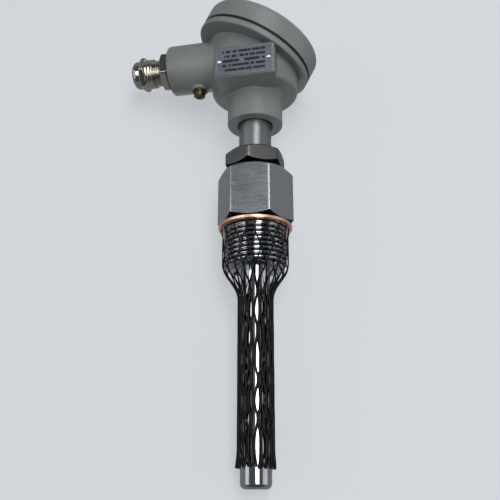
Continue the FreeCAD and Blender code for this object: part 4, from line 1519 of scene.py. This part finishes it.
@dataclass(frozen=True)
class Gland(Assembly):
    """Plated cable gland, drawn along its own axis from the boss's face outwards.

    The profile of a skirt ring pairs shares of the ring's pitch with the depth there.
    """

    reach: float = 58.5
    height: float = 122.5
    shank_low: float = -12.5
    shank_r: float = 9.95
    bore_r: float = 5.6
    seat_r: float = 7.2
    seat_floor: float = 7.2
    thread_r: float = 8.9
    thread_end: float = 17.2
    thread_chamfer: float = 1.0
    thread_pitch: float = 1.5
    thread_depth: float = 0.8
    thread_skin: float = 0.5
    run_out: float = 0.6
    rows_a_turn: int = 10
    hexagon: Hexagon = Hexagon(24.0, 1.2, 6.2, 0.0, corner=0.6, ease=0.3, chamfer_low=False)
    nut_body: str = "dome_nut"
    nut_low: float = 12.2
    nut_bore_r: float = 9.1
    nut_hexagon: Hexagon = Hexagon(20.6, 17.4, 21.8, 20.0, corner=0.6, ease=0.25)
    nut_dome_r: float = 9.5
    nut_round: float = 3.3
    nut_top: float = 27.4
    nut_mouth_r: float = 5.8
    nut_bore_top: float = 25.2
    nut_thread_top: float = 21.0
    nut_edge: float = 0.35
    nut_rings: int = 2
    ring_profile: Tuple[Span, ...] = ((0.34, 0.0), (0.5, 0.6), (0.74, 0.6), (0.9, 0.0))
    FINISHES: ClassVar[Dict[str, str]] = {
        "gland_gasket": "seal_rubber",
        "gland_seal": "seal_rubber",
        "gland_slip_ring": "slip_plastic",
    }

    def place(self) -> Matrix:
        """Turn the gland's axis onto -X and move it to the boss."""
        turn = Matrix.Rotation(math.radians(-90.0), 4, "Y")
        return Matrix.Translation((-self.reach, 0.0, self.height)) @ turn

    def body_rows(self) -> List[RowShape]:
        """Profile of the gland's body: shank, hexagon, outer thread and the seal's seat."""
        chamfer_z = self.thread_end - self.thread_chamfer
        step = self.thread_pitch / self.rows_a_turn
        return [
            flat_row(self.bore_r, self.shank_low),
            flat_row(self.shank_r, self.shank_low),
            flat_row(self.shank_r, self.hexagon.low),
            *self.hexagon.rows(),
            *even_rows(self.thread_r, self.hexagon.high, chamfer_z, step),
            flat_row(self.thread_r - self.thread_chamfer, self.thread_end),
            flat_row(self.seat_r, self.thread_end),
            flat_row(self.seat_r, self.seat_floor),
            flat_row(self.bore_r, self.seat_floor),
        ]

    def nut_rows(self) -> List[RowShape]:
        """Profile of the dome nut: round skirt, short hexagon, dome and mouth."""
        skirt_r = self.nut_hexagon.face_r
        dome = (self.nut_dome_r - self.nut_round, self.nut_top - self.nut_round)
        return [
            flat_row(self.nut_bore_r, self.nut_low),
            flat_row(skirt_r - self.nut_edge, self.nut_low),
            flat_row(skirt_r, self.nut_low + self.nut_edge),
            *self.skirt_rings(skirt_r),
            *self.nut_hexagon.rows(),
            flat_row(self.nut_dome_r, self.nut_hexagon.high),
            *arc_rows(dome, self.nut_round, 0.0, 90.0),
            flat_row(self.nut_mouth_r, self.nut_top),
            flat_row(self.nut_mouth_r, self.nut_bore_top),
            flat_row(self.seat_r, self.nut_bore_top),
            flat_row(self.seat_r, self.nut_thread_top),
            flat_row(self.nut_bore_r, self.nut_thread_top),
        ]

    def skirt_rings(self, skirt_r: float) -> List[RowShape]:
        """Shallow grip rings turned into the nut's skirt."""
        pitch = (self.nut_hexagon.low - self.nut_low - self.nut_edge) / self.nut_rings
        rows = []
        for k in range(self.nut_rings):
            start = self.nut_low + self.nut_edge + k * pitch
            for share, depth in self.ring_profile:
                rows.append(flat_row(skirt_r - depth, start + share * pitch))
        return rows

    def build(self, thread: ThreadRule) -> None:
        """Make the gland's body and nut, and dress its rings."""
        blank = turned_mesh("gland_blank", self.body_rows(), self.hexagon.angles(), closed=True)
        sizes = ThreadSizes(
            low=self.hexagon.high,
            high=self.thread_end,
            pitch=self.thread_pitch,
            depth=self.thread_depth,
            run_out=self.run_out,
            least_radius=self.thread_r - self.thread_skin,
        )
        spigot = thread.grow(blank, sizes, "gland_nickel")
        nut = turned_mesh("nut", self.nut_rows(), self.nut_hexagon.angles(), closed=True)
        for name, mesh, node, body in (
            ("gland_spigot", spigot, "gland_body", self.body),
            ("gland_dome", nut, "gland_nut", self.nut_body),
        ):
            self.stand_in(name, mesh, node, "gland_nickel", body, self.place())
        self.dress()


@dataclass(frozen=True)
class Insert(Assembly):
    """Measuring insert with its terminals, and the springs that press it down, inside the head."""

    spring_y: float = 16.5
    springs: CoilSizes = CoilSizes()
    seat: float = 118.5
    travel: float = 5.0
    FINISHES: ClassVar[Dict[str, str]] = {
        "insert_flange": "insert_steel",
        "insert_sheath": "insert_steel",
        "terminal_block": "block_ceramic",
        "terminal_clamps": "terminal_brass",
        "terminal_screws": "terminal_brass",
        "lead_wires": "lead_sleeve",
        "insert_screws": "insert_steel",
    }

    def make_springs(self, coil: CoilRule) -> None:
        """Wind both springs, one on each side of the insert, and give them a mesh of their own."""
        spots = bpy.data.meshes.new("spring_spots")
        spots.from_pydata([(0.0, -self.spring_y, 0.0), (0.0, self.spring_y, 0.0)], [], [])
        mesh = coil.grow(spots, self.springs, "insert_steel")
        springs = self.stand_in("insert_coils", mesh, "insert_springs", "insert_steel", self.body)
        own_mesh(springs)

    def build(self, coil: CoilRule) -> None:
        """Make the springs and dress the insert's solids."""
        self.make_springs(coil)
        self.dress()


@dataclass(frozen=True)
class Lamp:
    """A soft box or card, placed by its direction from the part. Its sizes are in metres."""

    name: str
    side: float
    rise: float
    distance: float
    width: float
    height: float
    power: float
    colour: Colour = (1.0, 1.0, 1.0)


@dataclass(frozen=True)
class Studio:
    """Camera, floor and light.

    The part lies on the floor, which in this frame stands upright behind it.
    """

    focal_px: float = 700.0
    picture_px: float = 500.0
    sensor: float = 36.0
    clip_start: float = 0.01
    azimuth: float = 12.07
    pitch: float = 19.0
    reach: float = 408.87
    height: float = -153.77
    aside: float = 3.36
    lean: float = 6.3
    floor_size: float = 6.0
    floor_colour: Colour = (0.64, 0.665, 0.7)
    floor_glow: float = 0.55
    pale: Colour = (0.76, 0.785, 0.82)
    mirror_share: float = 0.35
    ambient: Colour = (0.25, 0.26, 0.275)
    target: Tuple[float, float, float] = (0.0, 0.0, 20.0)
    lamps: Tuple[Lamp, ...] = (
        Lamp("key", 8.0, 8.0, 0.85, 0.36, 0.9, 4.6),
        Lamp("left", -66.0, 0.0, 1.0, 0.52, 1.1, 1.7),
        Lamp("right", 68.0, -3.0, 0.9, 0.62, 0.9, 1.4),
        Lamp("top", 130.0, 62.0, 1.1, 0.6, 0.6, 2.0),
        Lamp("back", 180.0, 10.0, 1.2, 0.9, 1.2, 8.0),
    )
    cards: Tuple[Lamp, ...] = (
        Lamp("room_card", 0.0, 0.0, 1.0, 4.4, 4.0, 0.12, (0.85, 0.95, 1.0)),
        Lamp("low_card", 0.0, -76.0, 0.95, 3.0, 1.6, 0.1, (0.85, 0.95, 1.0)),
        Lamp("low_strip", 10.0, -12.0, 0.9, 0.34, 0.5, 5.0),
        Lamp("left_strip", -41.0, 6.7, 0.38, 0.1, 0.19, 4.0),
    )

    def axes(self, turn: float = 0.0) -> Tuple[Vector, Vector]:
        """Level directions towards the camera and to its right, turned by an angle to the right."""
        a = math.radians(self.azimuth + turn)
        return Vector((math.sin(a), -math.cos(a), 0.0)), Vector((math.cos(a), math.sin(a), 0.0))

    def towards(self, side: float, rise: float) -> Vector:
        """Direction from the part, turned to the right of the camera's and raised."""
        near, _ = self.axes(side)
        angle = math.radians(rise)
        return near * math.cos(angle) + UP * math.sin(angle)

    def place_camera(self) -> None:
        """Put the camera where the photograph was taken from."""
        near, right = self.axes()
        tilt = math.radians(self.pitch)
        back = near * math.cos(tilt) - UP * math.sin(tilt)
        top = near * math.sin(tilt) + UP * math.cos(tilt)
        camera = bpy.data.cameras.new("camera")
        camera.sensor_width = self.sensor
        camera.lens = self.sensor * self.focal_px / self.picture_px
        camera.clip_start = self.clip_start
        holder = bpy.data.objects.new("camera", camera)
        spot = (near * self.reach + UP * self.height - right * self.aside) * MM
        turn = Matrix((right, top, back)).transposed().to_4x4()
        holder.matrix_world = Matrix.Translation(spot) @ turn
        bpy.context.scene.collection.objects.link(holder)
        bpy.context.scene.camera = holder

    def facing(self, lamp: Lamp) -> Matrix:
        """Place of a lamp or card that looks at the part."""
        direction = self.towards(lamp.side, lamp.rise)
        spot = Vector(self.target) * MM + direction * lamp.distance
        turn = (-direction).to_track_quat("-Z", "Y").to_matrix().to_4x4()
        return Matrix.Translation(spot) @ turn

    def hang_lamps(self) -> None:
        """Hang the soft boxes."""
        for lamp in self.lamps:
            light = bpy.data.lights.new(lamp.name, "AREA")
            light.shape = "RECTANGLE"
            light.size, light.size_y = lamp.width, lamp.height
            light.energy = lamp.power
            light.color = lamp.colour
            holder = bpy.data.objects.new(lamp.name, light)
            holder.matrix_world = self.facing(lamp)
            bpy.context.scene.collection.objects.link(holder)

    def board(self, name: str, width: float, height: float, place: Matrix) -> bpy.types.Object:
        """A flat stage board that faces along its own +Z.

        Args:
            name: the board's name.
            width: its width in metres.
            height: its height in metres.
            place: where it stands.

        Returns:
            The board, marked as stage.
        """
        mesh = bpy.data.meshes.new(name)
        signs = ((-1, -1), (1, -1), (1, 1), (-1, 1))
        corners = [(x * width / 2, y * height / 2, 0.0) for x, y in signs]
        mesh.from_pydata(corners, [], [(0, 1, 2, 3)])
        board = bpy.data.objects.new(name, mesh)
        board.matrix_world = place
        bpy.context.scene.collection.objects.link(board)
        return board

    def stand_cards(self) -> None:
        """Stand dim and bright cards round the camera that only the metal's reflections show."""
        for card in self.cards:
            board = self.board(card.name, card.width, card.height, self.facing(card))
            s = Shader(card.name)
            board.data.materials.append(s.show(s.glow(card.colour, card.power)))
            board.visible_camera = False
            board.visible_diffuse = False
            board.visible_shadow = False
            board.visible_transmission = False

    def lay_floor(self) -> None:
        """Lay the part on a pale floor, which shows from its upper side and takes the shadow."""
        _, right = self.axes()
        normal = self.towards(0.0, self.lean)
        along = normal.cross(right)
        level = min(normal.dot(v.co) for o in frame["nodes"].values() for v in o.data.vertices)
        turn = Matrix((right, along, normal)).transposed().to_4x4()
        place = Matrix.Translation(normal * level) @ turn
        floor = self.board("floor", self.floor_size, self.floor_size, place)
        s = Shader("floor")
        seen, mirrored = s.rays()
        matt = s.add("ShaderNodeBsdfDiffuse", {"Color": rgba(self.floor_colour)}).outputs[0]
        clear = s.add("ShaderNodeBsdfTransparent").outputs[0]
        lit = s.mix(s.product(seen, self.floor_glow), matt, s.glow(self.pale, 1.0))
        shown = s.mix(mirrored, lit, s.glow(self.pale, self.mirror_share))
        behind = s.add("ShaderNodeNewGeometry").outputs["Backfacing"]
        floor.data.materials.append(s.show(s.mix(behind, shown, clear)))
        floor.visible_diffuse = False
        floor.visible_shadow = False

    def light_world(self) -> None:
        """Surround the part with plain light, which camera and reflections see as a pale backdrop."""
        world = bpy.data.worlds.new("studio")
        world.use_nodes = True
        t = Tree(world.node_tree)
        seen, mirrored = t.rays()
        shades = ((self.ambient, 1.0), (self.pale, self.mirror_share), (self.pale, 1.0))
        around, dim, backdrop = (
            t.add("ShaderNodeBackground", {"Color": rgba(colour), "Strength": strength}).outputs[0]
            for colour, strength in shades
        )
        light = t.mix(seen, t.mix(mirrored, around, dim), backdrop)
        t.feed(t.tree.nodes["World Output"].inputs["Surface"], light)
        bpy.context.scene.world = world

    def build(self) -> None:
        """Set the studio up."""
        bpy.context.scene.view_settings.view_transform = "Standard"
        self.place_camera()
        self.lay_floor()
        self.stand_cards()
        self.hang_lamps()
        self.light_world()


def main() -> None:
    """Build the studio and the sub-assemblies in order."""
    logging.basicConfig(level=logging.INFO, format="%(name)s: %(message)s")
    Studio().build()
    thread = ThreadRule()
    Pocket().build(thread)
    NetSleeve().build(NetRule())
    Neck().build()
    Head().build()
    Gland().build(thread)
    Insert().build(CoilRule())


if __name__ == "__main__":
    main()
